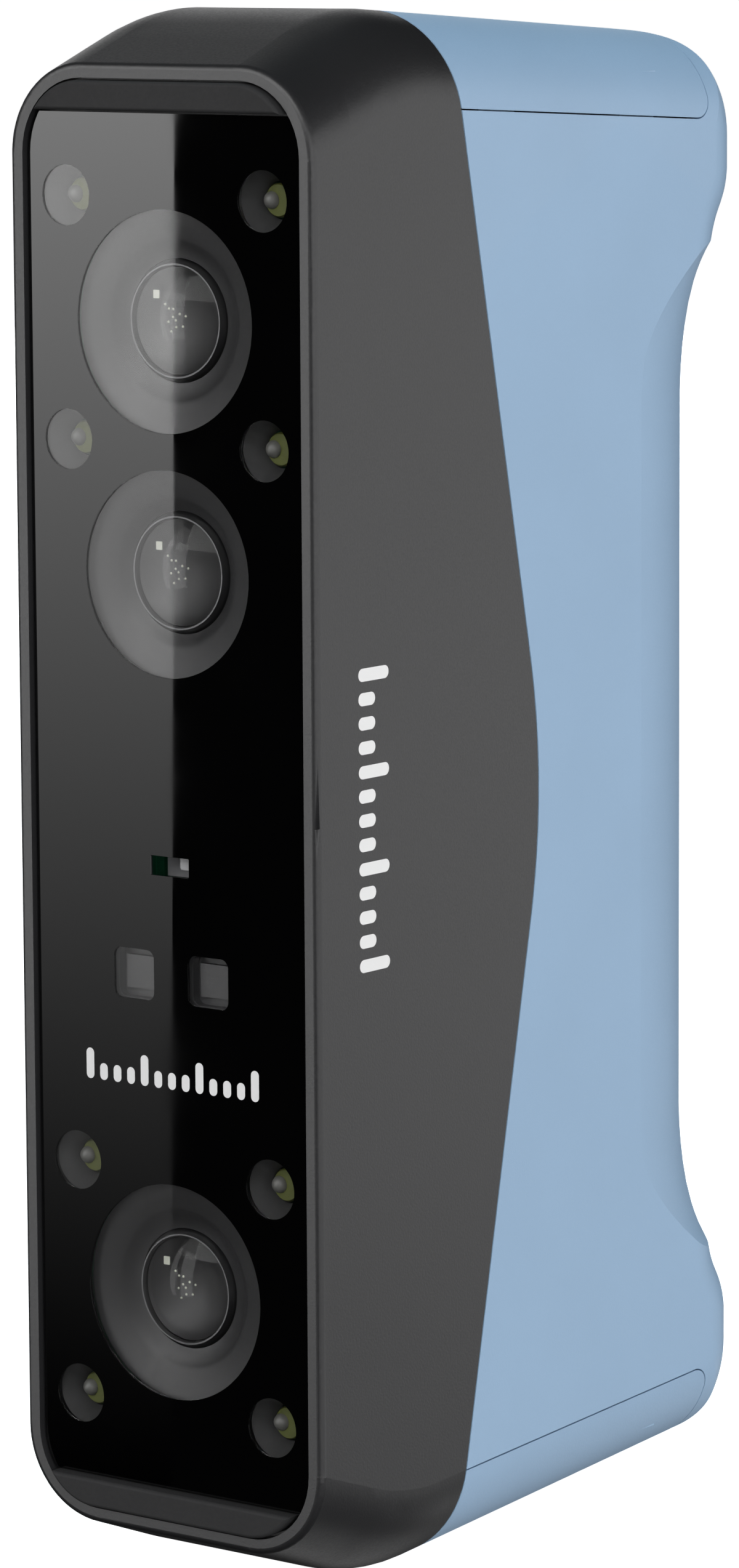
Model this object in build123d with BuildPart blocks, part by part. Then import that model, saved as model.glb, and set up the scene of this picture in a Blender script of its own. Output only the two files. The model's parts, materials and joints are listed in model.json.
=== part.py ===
from build123d import *
import os

# Handheld 3-D scanner. Millimetres. +X is the right side seen from the front, +Y points to the grip
# at the back and +Z points up. The origin is the centre of the whole scanner. "Depth" is measured
# backwards from the front rim, and "half height" up or down from the middle.

# ---- Casing ----
HALF_WIDTH = 25.0
BODY_DEPTH = 98.4
PAD_PROUD = 1.0
FRONT_Y = PAD_PROUD - (BODY_DEPTH + PAD_PROUD) / 2
FRONT_HALF_HEIGHT = 96.5
FRONT_SLOPE = 0.39
TOP_HALF_HEIGHT = 103.85
TOP_START = 15.5
TOP_SLOPE = 0.066
RIDGE_BLEND = 3.3
RIM_CORNER = 12.0
CASING_CORNER = 12.6
CORNER_BLEND_DEPTH = 17.0
RIM_ROUNDING = 0.9
WALL = 2.2
FRONT_WALL = 3.4
SEAM_GAP = 0.2
REACH = 130.0

# ---- Back of the casing: an end bulge above and below a waist for the hand ----
BACK_CORNER = 14.5
BACK_EDGE = 8.5
END_DROP_START = 80.0
END_DROP_SLOPE = 0.085
BULGE_LOWER = 77.0
BULGE_ROUNDING = 13.0
WAIST_UPPER = 70.3
WAIST_LIMIT_DEPTH = 94.1
WAIST_ROUNDING = 11.0
GRIP_STRAIGHT = 50.0
GRIP_FLARE = 20.9
GRIP_TOP = 78.0
GRIP_SIDE_END = 70.8
GRIP_ROUND_X = 14.0
GRIP_ROUND_Y = 23.0
GRIP_STAND_OFF = 0.02
GRIP_WIDENING = 3.0
GRIP_DEEPENING = 3.6
GRIP_DEPTH = GRIP_SIDE_END + GRIP_ROUND_Y

# ---- Seams between the dark front, the blue back and its end covers ----
SEAM_APEX = 49.9
SEAM_SLOPE = 0.2055
SEAM_ROUNDING = 86.0
COVER_SEAM = 92.0
COVER_SEAM_SLOPE = 0.0546
COVER_BACK = 88.5
COVER_CORNER = 3.0
END_WALL_INNER = 82.5
END_WALL = 2.0
HOOK_DEPTHS = (42.0, 74.0)
HOOK_X = 22.25
HOOK_Z = 90.0
HOOK_LENGTH = 8.0
HOOK_THICKNESS = 1.0
HOOK_FOOT_X = 22.6
HOOK_FOOT_Z = 92.5
HOOK_FOOT_HEIGHT = 3.0

# ---- Front opening, glass and bumper pads ----
OPENING_HALF_WIDTH = 22.8
OPENING_HALF_HEIGHT = 94.7
OPENING_CORNER = 9.8
LEDGE_DEPTH = 2.2
LEDGE_HALF_WIDTH = 20.7
LEDGE_HALF_HEIGHT = 87.5
LEDGE_CORNER = 3.0
GLASS_DEPTH = 0.6
GLASS_THICKNESS = 1.0
GLASS_GAP = 0.45
GLASS_HALF_HEIGHT = 90.3
MASK_THICKNESS = 0.2
PAD_HALF_WIDTH = 21.9
PAD_HALF_HEIGHT = 94.4
PAD_CORNER = 9.0
PAD_START = 90.55
PAD_EDGE = 0.5

# ---- Windows: (height, window radius) of each camera, and the lights around them ----
CAMERAS = {"upper": (63.7, 14.4), "middle": (31.1, 13.5), "lower": (-63.7, 14.4)}
CAMERA_HEIGHTS = [height for height, radius in CAMERAS.values()]
PLUG_HEIGHTS = [height - 18 if height > 0 else height + 18 for height in CAMERA_HEIGHTS]
LIGHT_X = 16.2
LIGHT_HEIGHTS = (79.55, 47.87, -47.87, -79.55)
LIGHT_POINTS = [(x, z) for x in (-LIGHT_X, LIGHT_X) for z in LIGHT_HEIGHTS]
LIGHT_RADIUS = 3.95
PROJECTOR_X = 6.2
PROJECTOR_Z = -21.8
PROJECTOR_WINDOW = 6.7
PROJECTOR_CORNER = 1.2
SENSOR_Z = -7.1
SENSOR_SLOT = (6.35, 2.6)
SENSOR_X = 1.9
SENSOR_FACE = (2.7, 1.8)
SENSOR_FACE_RISE = 0.4
SENSOR_BODY = (7.5, 4.0)
SENSOR_BODY_DEPTH = 5.0

# ---- Optical bench and what hangs on it ----
BENCH_DEPTH = 14.0
BENCH_THICKNESS = 3.0
BENCH_BACK = BENCH_DEPTH + BENCH_THICKNESS
BENCH_HALF_WIDTH = 22.0
BENCH_HALF_HEIGHT = 92.5
BOSS_POINTS = [(x, z) for x in (-20.0, 20.0) for z in (-38.5, 38.5)]
BOSS_POINTS += [(x, z) for x in (-16.5, 16.5) for z in (-89.5, 89.5)]
BOSS_RADIUS = 2.9
BOSS_START = LEDGE_DEPTH + 0.6
BOSS_PILOT_RADIUS = 1.25
BOSS_PILOT_LENGTH = 9.0
BENCH_CORNER = 8.0
BENCH_HOLE_RADIUS = 1.4
BENCH_SLOT_HEIGHTS = (5.0, -36.0)
BENCH_SLOT = (24.0, 8.0)
TAB_HALF_WIDTH = 12.0
TAB_END = 42.0
TAB_THICKNESS = 2.9
CASE_SCREW_X = 8.0
CASE_SCREW_DEPTH = 38.0
CASE_SCREW_RADIUS = 1.3
CASE_SCREW_LENGTH = 6.2
CASE_SCREW_HEAD = 2.7
CASE_SCREW_HEAD_HEIGHT = 1.8
CASE_SCREW_HOLE = 1.6
TAB_HOLE_RADIUS = 1.35
BARREL_RADIUS = 8.0
LENS_RADIUS = 6.15
LENS_DEPTH = 4.0
LENS_DOME = 1.7
LENS_BACK = 12.4
HOUSING = 24.0
HOUSING_DEPTH = 8.0
HOUSING_SCREW = 10.0
HOUSING_CORNER = 2.0
HOUSING_HOLE_RADIUS = 1.1
SENSOR_CHIP = (9.0, 7.4)
SENSOR_CHIP_HEIGHT = 2.4
PLUG = (9.0, 4.0)
PLUG_THICKNESS = 1.2
CABLE_WIDTH = 8.0
BOARD_THICKNESS = 1.6
LIGHT_BOARD_DEPTH = 7.7
LIGHT_BOARD_THICKNESS = 1.2
LIGHT_BOARD_X = 16.3
LIGHT_BOARD = (7.6, 41.0)
LIGHT_BOARD_CORNER = 1.0
LIGHT_SPACER_Z = 14.0
SPACER_RADIUS = 2.0
PROJECTOR_BOARD_DEPTH = 8.0
PROJECTOR_BOARD_SIZE = 30.0
PROJECTOR_BOARD_Z = -17.0
PROJECTOR_SPACER = 12.5
PROJECTOR_BODY = 8.4
PROJECTOR_BODY_CORNER = 1.4
PROJECTOR_LENS = (4.9, 4.4)
PROJECTOR_RECESS = 1.2
PROJECTOR_LENS_RECESS = 0.4

# ---- Main electronics and battery ----
MAIN_BOARD_DEPTH = 36.0
MAIN_BOARD_BACK = MAIN_BOARD_DEPTH + BOARD_THICKNESS
MAIN_BOARD_HALF_WIDTH = 19.0
MAIN_BOARD_HALF_HEIGHT = 72.0
MAIN_BOARD_CORNER = 2.0
MAIN_BOARD_HOLE = 1.3
PROCESSOR = 18.0
PROCESSOR_Z = 8.0
MEMORY_POINTS = [(x, z) for x in (-8.0, 8.0) for z in (26.0, -10.0)]
MEMORY = (10.0, 8.0)
CHIP_HEIGHT = 1.4
THERMAL_PAD = (26.0, 44.0)
THERMAL_PAD_THICKNESS = 0.8
SINK = (32.0, 50.0)
SINK_BASE_THICKNESS = 2.5
SINK_FIN = 1.0
SINK_FIN_PITCH = 3.4
SINK_FIN_COUNT = 10
SINK_FIN_HEIGHT = 9.0
RADIO = (15.0, 12.0)
RADIO_Z = -32.0
RADIO_HEIGHT = 2.2
BUZZER_Z = -56.0
BUZZER_RADIUS = 5.5
BUZZER_HEIGHT = 4.0
SPACER_POINTS = [(x, z) for x in (-16.4, 16.4) for z in (-68.0, 68.0)]
CELL_RADIUS = 9.2
CELL_LENGTH = 66.0
CELL_X = 9.6
CELL_DEPTH = 68.0
TRAY_FRONT = 56.0
TRAY_BACK = 66.0
TRAY_WIDTH = 40.6
TRAY_HEIGHT = 76.0
TRAY_CORNER = 2.0
TRAY_LEG_POINTS = [(x, z) for x in (-17.4, 17.4) for z in (-34.5, 35.5)]
TRAY_LEG_RADIUS = 1.6
TERMINAL_RADIUS = 2.8
TERMINAL_HEIGHT = 1.2

# ---- Controls on the grip ----
PANEL_WIDTH = 17.0
PANEL_LENGTH = 60.0
PANEL_SEAT = GRIP_DEPTH - 1.4
PANEL_FACE = GRIP_DEPTH + 0.15
SCAN_RADIUS = 6.2
SIDE_BUTTON_RADIUS = 4.4
SIDE_BUTTON_Z = 17.0
POWER_RADIUS = 4.0
POWER_Z = -40.0
BUTTON_CLEARANCE = 0.3
LIGHT_PIPE_Z = 25.0
LIGHT_PIPE_RADIUS = 1.1
BUTTON_BOARD_DEPTH = 84.0
BUTTON_BOARD_THICKNESS = 1.2
BUTTON_BOARD = (17.0, 88.0)
BUTTON_BOARD_CORNER = 2.0
BUTTON_BOARD_Z = -3.0
BUTTON_BOARD_HOLE = 1.0
SWITCH_SIZE = 5.2
SWITCH_HEIGHT = 1.6
PLUNGER_RADIUS = 1.4
PLUNGER_HEIGHT = 0.8
BUTTON_CABLE_WIDTH = 6.0
BUTTON_CABLE_Z = 43.0
BUTTON_CABLE_BEND = 42.0
STEM_END = 88.5
STEM_RADIUS = 1.6
BUTTON_FLANGE = 0.9
BUTTON_DISH = 0.22
BUTTON_BOSS_POINTS = [(x, z) for x in (-5.8, 5.8) for z in (-31.5, 36.5)]
BUTTON_BOSS_RADIUS = 2.2
BUTTON_BOSS_PILOT = 0.95
BUTTON_BOSS_PILOT_LENGTH = 5.5
RECESS_MARGIN = 1.0

# ---- Bottom end: charging socket and tripod thread ----
SOCKET_DEPTH = 68.0
SOCKET_WIDTH = 8.94
SOCKET_HEIGHT = 3.26
SOCKET_WALL = 0.3
SOCKET_LENGTH = 7.3
SOCKET_MOUTH_Z = -99.9
SOCKET_TONGUE = (6.7, 0.7)
CHARGING_BOARD_WIDTH = 20.0
CHARGING_BOARD_END = 96.5
CHARGING_BOARD_THICKNESS = 1.0
CHARGING_CHIPS = [(x, -88.0) for x in (-5.0, 5.0)]
CHARGING_CHIP = (6.0, 4.0)
TRIPOD_DEPTH = 50.0
TRIPOD_FACE_Z = -100.7
TRIPOD_THREAD_RADIUS = 2.55
TRIPOD_THREAD_LENGTH = 11.0
TRIPOD_FLANGE_RADIUS = 7.8
TRIPOD_FLANGE = 1.6
TRIPOD_BODY_RADIUS = 4.8
TRIPOD_BODY_LENGTH = 12.4
TRIPOD_COLUMN_RADIUS = 7.5
TRIPOD_BASE = (30.0, 17.5)
TRIPOD_BASE_THICKNESS = 2.5

# Side view: local x is depth, local y is height.
SIDE = Plane(origin=(0, FRONT_Y, 0), x_dir=(0, 1, 0), z_dir=(1, 0, 0))


def front_view(depth):
    """Front view at a depth: local x is X, local y is height. Negative extrusions go backwards."""
    return Plane.XZ.offset(-(FRONT_Y + depth))


def top_view(height, x=0.0):
    """Top view at a height: local x is X, local y is depth."""
    return Plane(origin=(x, FRONT_Y, height), x_dir=(1, 0, 0), z_dir=(0, 0, 1))


def half_height(depth):
    """Half height of the casing: a front slope and a top slope, blended along the ridge."""
    front = FRONT_HALF_HEIGHT + FRONT_SLOPE * depth
    top = TOP_HALF_HEIGHT - TOP_SLOPE * (depth - TOP_START)
    blend = max(RIDGE_BLEND - abs(front - top), 0.0) / RIDGE_BLEND
    return min(front, top) - blend * blend * RIDGE_BLEND / 4


def corner_radius(depth):
    """Radius between the flat sides and the top or bottom."""
    share = min(depth / CORNER_BLEND_DEPTH, 1.0)
    return RIM_CORNER + (CASING_CORNER - RIM_CORNER) * share


def casing_block(inset, start):
    """The casing from front to back with flat sides, before its back is shaped."""
    ridge = range(28, 6, -2)
    with BuildPart() as block:
        for depths, ruled in (((8, start), True), (ridge, False), ((99, 28), True)):
            for depth in depths:
                with BuildSketch(front_view(depth)):
                    RectangleRounded(
                        2 * (HALF_WIDTH - inset),
                        2 * (half_height(depth) - inset),
                        corner_radius(depth) - inset,
                    )
            loft(ruled=ruled)
    return block.part


def back_profile(inset):
    """The side view of the bulges and the waist, pushed through the width, with rounded side edges."""
    top_at_drop = half_height(END_DROP_START)
    end = top_at_drop - END_DROP_SLOPE * (BODY_DEPTH - END_DROP_START)
    start = top_at_drop + END_DROP_SLOPE * END_DROP_START
    corners = (
        (BODY_DEPTH, end, BACK_CORNER),
        (BODY_DEPTH, BULGE_LOWER, BULGE_ROUNDING),
        (WAIST_LIMIT_DEPTH, WAIST_UPPER, WAIST_ROUNDING),
    )
    upper = [(depth, height) for depth, height, radius in corners]
    lower = [(depth, -height) for depth, height in reversed(upper)]
    with BuildPart() as profile:
        with BuildSketch(SIDE) as outline:
            with BuildLine():
                Polyline((0, start), *upper, *lower, (0, -start), close=True)
            make_face()
            for depth, height, radius in corners:
                at_corner = [
                    v
                    for v in outline.vertices()
                    if abs(v.X - depth) < 0.1 and abs(abs(v.Y) - height) < 0.1
                ]
                fillet(at_corner, radius)
            offset(amount=-inset, kind=Kind.INTERSECTION)
        extrude(amount=HALF_WIDTH - inset, both=True)
        side_edges = profile.faces().filter_by(Axis.X).edges()
        back_edges = side_edges.filter_by(
            lambda edge: edge.center().Y > FRONT_Y + BODY_DEPTH / 2 and abs(edge.center().Z) < 97
        )
        fillet(back_edges, BACK_EDGE - inset)
    return profile.part


def grip_section(height, inset):
    """Section of the grip at a height: flat sides and elliptical back corners, wider near the ends."""
    flare = max(0.0, (height - GRIP_STRAIGHT) / GRIP_FLARE)
    half = HALF_WIDTH + GRIP_STAND_OFF + GRIP_WIDENING * flare**4 - inset
    side_end = GRIP_SIDE_END + GRIP_DEEPENING * flare**1.5
    round_x = GRIP_ROUND_X - inset
    round_y = GRIP_ROUND_Y - inset
    back = side_end + round_y
    with BuildSketch(top_view(height)) as section:
        with BuildLine():
            Polyline((-half, side_end), (-half, -5), (half, -5), (half, side_end))
            EllipticalCenterArc((half - round_x, side_end), round_x, round_y, start_angle=0, arc_size=90)
            Line((half - round_x, back), (-half + round_x, back))
            EllipticalCenterArc((-half + round_x, side_end), round_x, round_y, start_angle=90, arc_size=90)
        make_face()
    return section.sketch


def grip_block(inset):
    """Everything inside the scooped grip surface."""
    flare_heights = (50, 54, 58, 62, 66, 70, 74, 78)
    with BuildPart() as block:
        loft([grip_section(height, inset) for height in flare_heights])
        extrude(grip_section(GRIP_STRAIGHT, inset), amount=-GRIP_STRAIGHT)
        extrude(grip_section(GRIP_TOP, inset), amount=REACH - GRIP_TOP)
        mirror(about=Plane.XY)
    return block.part


def casing_solid(inset, start):
    """The whole casing shape, inset by a wall thickness and starting at a depth."""
    with BuildPart() as solid:
        add(casing_block(inset, start))
        add(back_profile(inset), mode=Mode.INTERSECT)
        add(grip_block(inset), mode=Mode.INTERSECT)
    return solid.part


def seam_side(offset_depth, behind):
    """A block on one side of the wedge-shaped seam between the front and the back."""
    far = 120.0 if behind else -10.0
    end = SEAM_APEX - SEAM_SLOPE * REACH + offset_depth
    with BuildPart() as block:
        with BuildSketch(SIDE) as outline:
            with BuildLine():
                Polyline(
                    (end, -REACH),
                    (SEAM_APEX + offset_depth, 0),
                    (end, REACH),
                    (far, REACH),
                    (far, -REACH),
                    close=True,
                )
            make_face()
            fillet(outline.vertices().group_by(Axis.Y)[1], SEAM_ROUNDING)
        extrude(amount=2 * HALF_WIDTH, both=True)
    return block.part


def cover_block(grow):
    """The block that an end cover is cut from, at the top."""
    back = COVER_BACK + grow
    front_height = COVER_SEAM - COVER_SEAM_SLOPE * 15 - grow
    back_height = COVER_SEAM - COVER_SEAM_SLOPE * back - grow
    with BuildPart() as block:
        with BuildSketch(SIDE) as outline:
            with BuildLine():
                Polyline((15, front_height), (back, back_height), (back, REACH), (15, REACH), close=True)
            make_face()
            lowest = outline.vertices().sort_by(Axis.Y)[0]
            fillet(lowest, COVER_CORNER + grow)
        extrude(amount=2 * HALF_WIDTH, both=True)
    return block.part


def turned(profile, x, height):
    """A round piece about a front-to-back axis. The profile lists (radius, depth)."""
    with BuildPart() as piece:
        with BuildSketch(top_view(height, x)):
            with BuildLine():
                Polyline(*profile, close=True)
            make_face()
        revolve(axis=Axis((x, FRONT_Y, height), (0, 1, 0)))
    return piece.part


def arc_rise(radius, rise):
    """How far an arc about the axis has risen at half its radius, when it rises by rise at its edge."""
    sphere = (radius**2 + rise**2) / (2 * rise)
    return sphere - (sphere**2 - radius**2 / 4) ** 0.5


def plate(depth, thickness, width, height, centre_z=0.0, corner=0.0):
    """A flat plate facing the front."""
    with BuildPart() as piece:
        with BuildSketch(front_view(depth)):
            with Locations((0, centre_z)):
                if corner:
                    RectangleRounded(width, height, corner)
                else:
                    Rectangle(width, height)
        extrude(amount=-thickness)
    return piece.part


def screws(points, head_depth, head_radius, head_height, shank_radius, tip_depth):
    """A group of equal screws along the depth axis. The tip may be ahead of the head or behind it."""
    back = tip_depth < head_depth
    tip = tip_depth - head_depth
    with BuildPart() as group:
        with BuildSketch(front_view(head_depth)):
            with Locations(*points):
                Circle(shank_radius)
        extrude(amount=-tip)
        with BuildSketch(front_view(head_depth)):
            with Locations(*points):
                Circle(head_radius)
                RegularPolygon(head_radius * 0.5, 6, mode=Mode.SUBTRACT)
        extrude(amount=-head_height if back else head_height)
    return group.part


def ribbon(points, width, x=0.0, thickness=0.3):
    """A flat flexible cable. The points list (depth, height) along its run."""
    with BuildPart() as cable:
        with BuildSketch(SIDE.offset(x)):
            with BuildLine() as route:
                FilletPolyline(*points, radius=1.2)
            trace(route.line, line_width=thickness)
        extrude(amount=width / 2, both=True)
    return cable.part


pieces = {}

casing = casing_solid(0.0, 0.0)
cavity = casing_solid(WALL, FRONT_WALL)

# ---- Dark front casing: rim, ledge for the glass, and screw bosses ----
with BuildPart() as front_bezel:
    add(casing)
    front_rim = front_bezel.faces().sort_by(Axis.Y)[0].edges()
    fillet(front_rim, RIM_ROUNDING)
    add(cavity, mode=Mode.SUBTRACT)
    add(seam_side(-SEAM_GAP / 2, False), mode=Mode.INTERSECT)
    with BuildSketch(front_view(-1)):
        RectangleRounded(2 * OPENING_HALF_WIDTH, 2 * OPENING_HALF_HEIGHT, OPENING_CORNER)
    extrude(amount=-(LEDGE_DEPTH + 1), mode=Mode.SUBTRACT)
    with BuildSketch(front_view(0)):
        RectangleRounded(2 * LEDGE_HALF_WIDTH, 2 * LEDGE_HALF_HEIGHT, LEDGE_CORNER)
    extrude(amount=-FRONT_WALL - 1, mode=Mode.SUBTRACT)
    with BuildSketch(front_view(BOSS_START)):
        with Locations(*BOSS_POINTS):
            Circle(BOSS_RADIUS)
    extrude(amount=-(BENCH_DEPTH - BOSS_START))
    with BuildSketch(front_view(BENCH_DEPTH)):
        with Locations(*BOSS_POINTS):
            Circle(BOSS_PILOT_RADIUS)
    extrude(amount=BOSS_PILOT_LENGTH, mode=Mode.SUBTRACT)
pieces["front_bezel"] = front_bezel

# ---- Blue back casing with its grip, end walls, control recess and button board bosses ----
with BuildPart() as end_wall:
    add(cavity)
    add(seam_side(SEAM_GAP / 2, True), mode=Mode.INTERSECT)
    with BuildSketch(Plane.XY.offset(END_WALL_INNER)):
        Rectangle(2 * HALF_WIDTH, REACH * 2)
    extrude(amount=END_WALL, mode=Mode.INTERSECT)
    with BuildSketch(Plane.XY.offset(END_WALL_INNER)):
        with Locations(*[(x, FRONT_Y + CASE_SCREW_DEPTH) for x in (-CASE_SCREW_X, CASE_SCREW_X)]):
            Circle(CASE_SCREW_HOLE)
    extrude(amount=END_WALL, mode=Mode.SUBTRACT)

with BuildPart() as rear_shell:
    add(casing)
    add(cavity, mode=Mode.SUBTRACT)
    add(seam_side(SEAM_GAP / 2, True), mode=Mode.INTERSECT)
    add(cover_block(SEAM_GAP / 2), mode=Mode.SUBTRACT)
    add(mirror(cover_block(SEAM_GAP / 2), about=Plane.XY, mode=Mode.PRIVATE), mode=Mode.SUBTRACT)
    add(end_wall.part)
    add(mirror(end_wall.part, about=Plane.XY, mode=Mode.PRIVATE))
    with BuildSketch(front_view(PANEL_SEAT)):
        SlotOverall(PANEL_LENGTH + 0.2, PANEL_WIDTH + 0.2, rotation=90)
    extrude(amount=-5, mode=Mode.SUBTRACT)
    with BuildSketch(front_view(PANEL_SEAT + 1)):
        Circle(SCAN_RADIUS + RECESS_MARGIN)
        with Locations((0, SIDE_BUTTON_Z), (0, -SIDE_BUTTON_Z)):
            Circle(SIDE_BUTTON_RADIUS + RECESS_MARGIN)
        with Locations((0, LIGHT_PIPE_Z)):
            Circle(LIGHT_PIPE_RADIUS + 0.1)
    extrude(amount=8, mode=Mode.SUBTRACT)
    with BuildSketch(front_view(PANEL_FACE + 1)):
        with Locations((0, POWER_Z)):
            Circle(POWER_RADIUS + BUTTON_CLEARANCE)
    extrude(amount=8, mode=Mode.SUBTRACT)
    with BuildSketch(front_view(BUTTON_BOARD_DEPTH + BUTTON_BOARD_THICKNESS)):
        with Locations(*BUTTON_BOSS_POINTS):
            Circle(BUTTON_BOSS_RADIUS)
    extrude(amount=-(GRIP_DEPTH - WALL + 0.1 - BUTTON_BOARD_DEPTH - BUTTON_BOARD_THICKNESS))
    with BuildSketch(front_view(BUTTON_BOARD_DEPTH)):
        with Locations(*BUTTON_BOSS_POINTS):
            Circle(BUTTON_BOSS_PILOT)
    extrude(amount=-BUTTON_BOSS_PILOT_LENGTH, mode=Mode.SUBTRACT)
pieces["rear_shell"] = rear_shell


def end_cover():
    """The blue cap over an end, with two snap hooks that reach inside the back casing."""
    with BuildPart() as cover:
        add(casing)
        add(cavity, mode=Mode.SUBTRACT)
        add(seam_side(SEAM_GAP / 2, True), mode=Mode.INTERSECT)
        add(cover_block(-SEAM_GAP / 2), mode=Mode.INTERSECT)
        for side in (-1, 1):
            for depth in HOOK_DEPTHS:
                with Locations((side * HOOK_X, FRONT_Y + depth, HOOK_Z)):
                    Box(HOOK_THICKNESS, HOOK_LENGTH, HOOK_LENGTH)
                with Locations((side * HOOK_FOOT_X, FRONT_Y + depth, HOOK_FOOT_Z)):
                    Box(HOOK_THICKNESS, HOOK_LENGTH, HOOK_FOOT_HEIGHT)
    return cover.part


with BuildPart() as top_end_cover:
    add(end_cover())
pieces["top_end_cover"] = top_end_cover

with BuildPart() as bottom_end_cover:
    add(mirror(end_cover(), about=Plane.XY, mode=Mode.PRIVATE))
    with BuildSketch(top_view(TRIPOD_FACE_Z - 5)):
        with Locations((0, TRIPOD_DEPTH)):
            Circle(TRIPOD_FLANGE_RADIUS + 0.3)
        with Locations((0, SOCKET_DEPTH)):
            SlotOverall(SOCKET_WIDTH + 0.7, SOCKET_HEIGHT + 0.7)
    extrude(amount=12, mode=Mode.SUBTRACT)
pieces["bottom_end_cover"] = bottom_end_cover

# ---- Front glass, its printed mask and the adhesive frame ----
with BuildPart() as front_glass:
    with BuildSketch(front_view(GLASS_DEPTH)):
        RectangleRounded(
            2 * (OPENING_HALF_WIDTH - GLASS_GAP),
            2 * (OPENING_HALF_HEIGHT - GLASS_GAP),
            OPENING_CORNER - GLASS_GAP,
        )
        Rectangle(2 * HALF_WIDTH, 2 * GLASS_HALF_HEIGHT, mode=Mode.INTERSECT)
        with Locations((0, SENSOR_Z)):
            Rectangle(*SENSOR_SLOT, mode=Mode.SUBTRACT)
    extrude(amount=-GLASS_THICKNESS)
pieces["front_glass"] = front_glass

mask_depth = GLASS_DEPTH + GLASS_THICKNESS
with BuildPart() as window_mask:
    with BuildSketch(front_view(mask_depth)):
        RectangleRounded(2 * OPENING_HALF_WIDTH - 1.1, 2 * OPENING_HALF_HEIGHT - 1.1, OPENING_CORNER - 0.5)
        Rectangle(2 * HALF_WIDTH, 2 * GLASS_HALF_HEIGHT - 0.2, mode=Mode.INTERSECT)
        for height, radius in CAMERAS.values():
            with Locations((0, height)):
                Circle(radius, mode=Mode.SUBTRACT)
        with Locations(*LIGHT_POINTS):
            Circle(LIGHT_RADIUS, mode=Mode.SUBTRACT)
        with Locations((-PROJECTOR_X, PROJECTOR_Z), (PROJECTOR_X, PROJECTOR_Z)):
            RectangleRounded(PROJECTOR_WINDOW, PROJECTOR_WINDOW, PROJECTOR_CORNER, mode=Mode.SUBTRACT)
        with Locations((0, SENSOR_Z)):
            Rectangle(*SENSOR_SLOT, mode=Mode.SUBTRACT)
    extrude(amount=-MASK_THICKNESS)
pieces["window_mask"] = window_mask

gasket_depth = mask_depth + MASK_THICKNESS
with BuildPart() as glass_gasket:
    with BuildSketch(front_view(gasket_depth)):
        RectangleRounded(2 * OPENING_HALF_WIDTH - 1.4, 2 * OPENING_HALF_HEIGHT - 1.4, OPENING_CORNER - 0.7)
        Rectangle(2 * HALF_WIDTH, 2 * GLASS_HALF_HEIGHT - 0.4, mode=Mode.INTERSECT)
        RectangleRounded(
            2 * LEDGE_HALF_WIDTH + 0.4,
            2 * LEDGE_HALF_HEIGHT + 0.4,
            LEDGE_CORNER,
            mode=Mode.SUBTRACT,
        )
    extrude(amount=-(LEDGE_DEPTH - gasket_depth))
pieces["glass_gasket"] = glass_gasket


def bumper_pad():
    """The raised pad that fills the arched end of the front opening."""
    with BuildPart() as pad:
        with BuildSketch(front_view(-PAD_PROUD)):
            RectangleRounded(2 * PAD_HALF_WIDTH, 2 * PAD_HALF_HEIGHT, PAD_CORNER)
            with Locations((0, PAD_START + HALF_WIDTH)):
                Rectangle(2 * HALF_WIDTH, 2 * HALF_WIDTH, mode=Mode.INTERSECT)
        extrude(amount=-(LEDGE_DEPTH + PAD_PROUD))
        fillet(pad.faces().sort_by(Axis.Y)[0].edges(), PAD_EDGE)
    return pad.part


with BuildPart() as top_bumper_pad:
    add(bumper_pad())
pieces["top_bumper_pad"] = top_bumper_pad

with BuildPart() as bottom_bumper_pad:
    add(mirror(bumper_pad(), about=Plane.XY, mode=Mode.PRIVATE))
pieces["bottom_bumper_pad"] = bottom_bumper_pad

# ---- Aluminium optical bench that every camera, light and board is fixed to ----
with BuildPart() as optical_bench:
    with BuildSketch(front_view(BENCH_DEPTH)):
        RectangleRounded(2 * BENCH_HALF_WIDTH, 2 * BENCH_HALF_HEIGHT, BENCH_CORNER)
        for height, radius in CAMERAS.values():
            with Locations((0, height)):
                Circle(BARREL_RADIUS + 0.1, mode=Mode.SUBTRACT)
        with Locations(*BOSS_POINTS):
            Circle(BENCH_HOLE_RADIUS, mode=Mode.SUBTRACT)
        with Locations(*[(0, height) for height in BENCH_SLOT_HEIGHTS]):
            SlotOverall(*BENCH_SLOT, mode=Mode.SUBTRACT)
    extrude(amount=-BENCH_THICKNESS)
    for side in (-1, 1):
        tab_z = side * (END_WALL_INNER - 0.1 - TAB_THICKNESS / 2)
        with Locations((0, FRONT_Y + (BENCH_BACK + TAB_END) / 2 - 0.5, tab_z)):
            Box(2 * TAB_HALF_WIDTH, TAB_END - BENCH_BACK + 1, TAB_THICKNESS)
        for x in (-CASE_SCREW_X, CASE_SCREW_X):
            with Locations((x, FRONT_Y + CASE_SCREW_DEPTH, tab_z)):
                Cylinder(TAB_HOLE_RADIUS, 2 * TAB_THICKNESS, mode=Mode.SUBTRACT)
pieces["optical_bench"] = optical_bench

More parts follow.
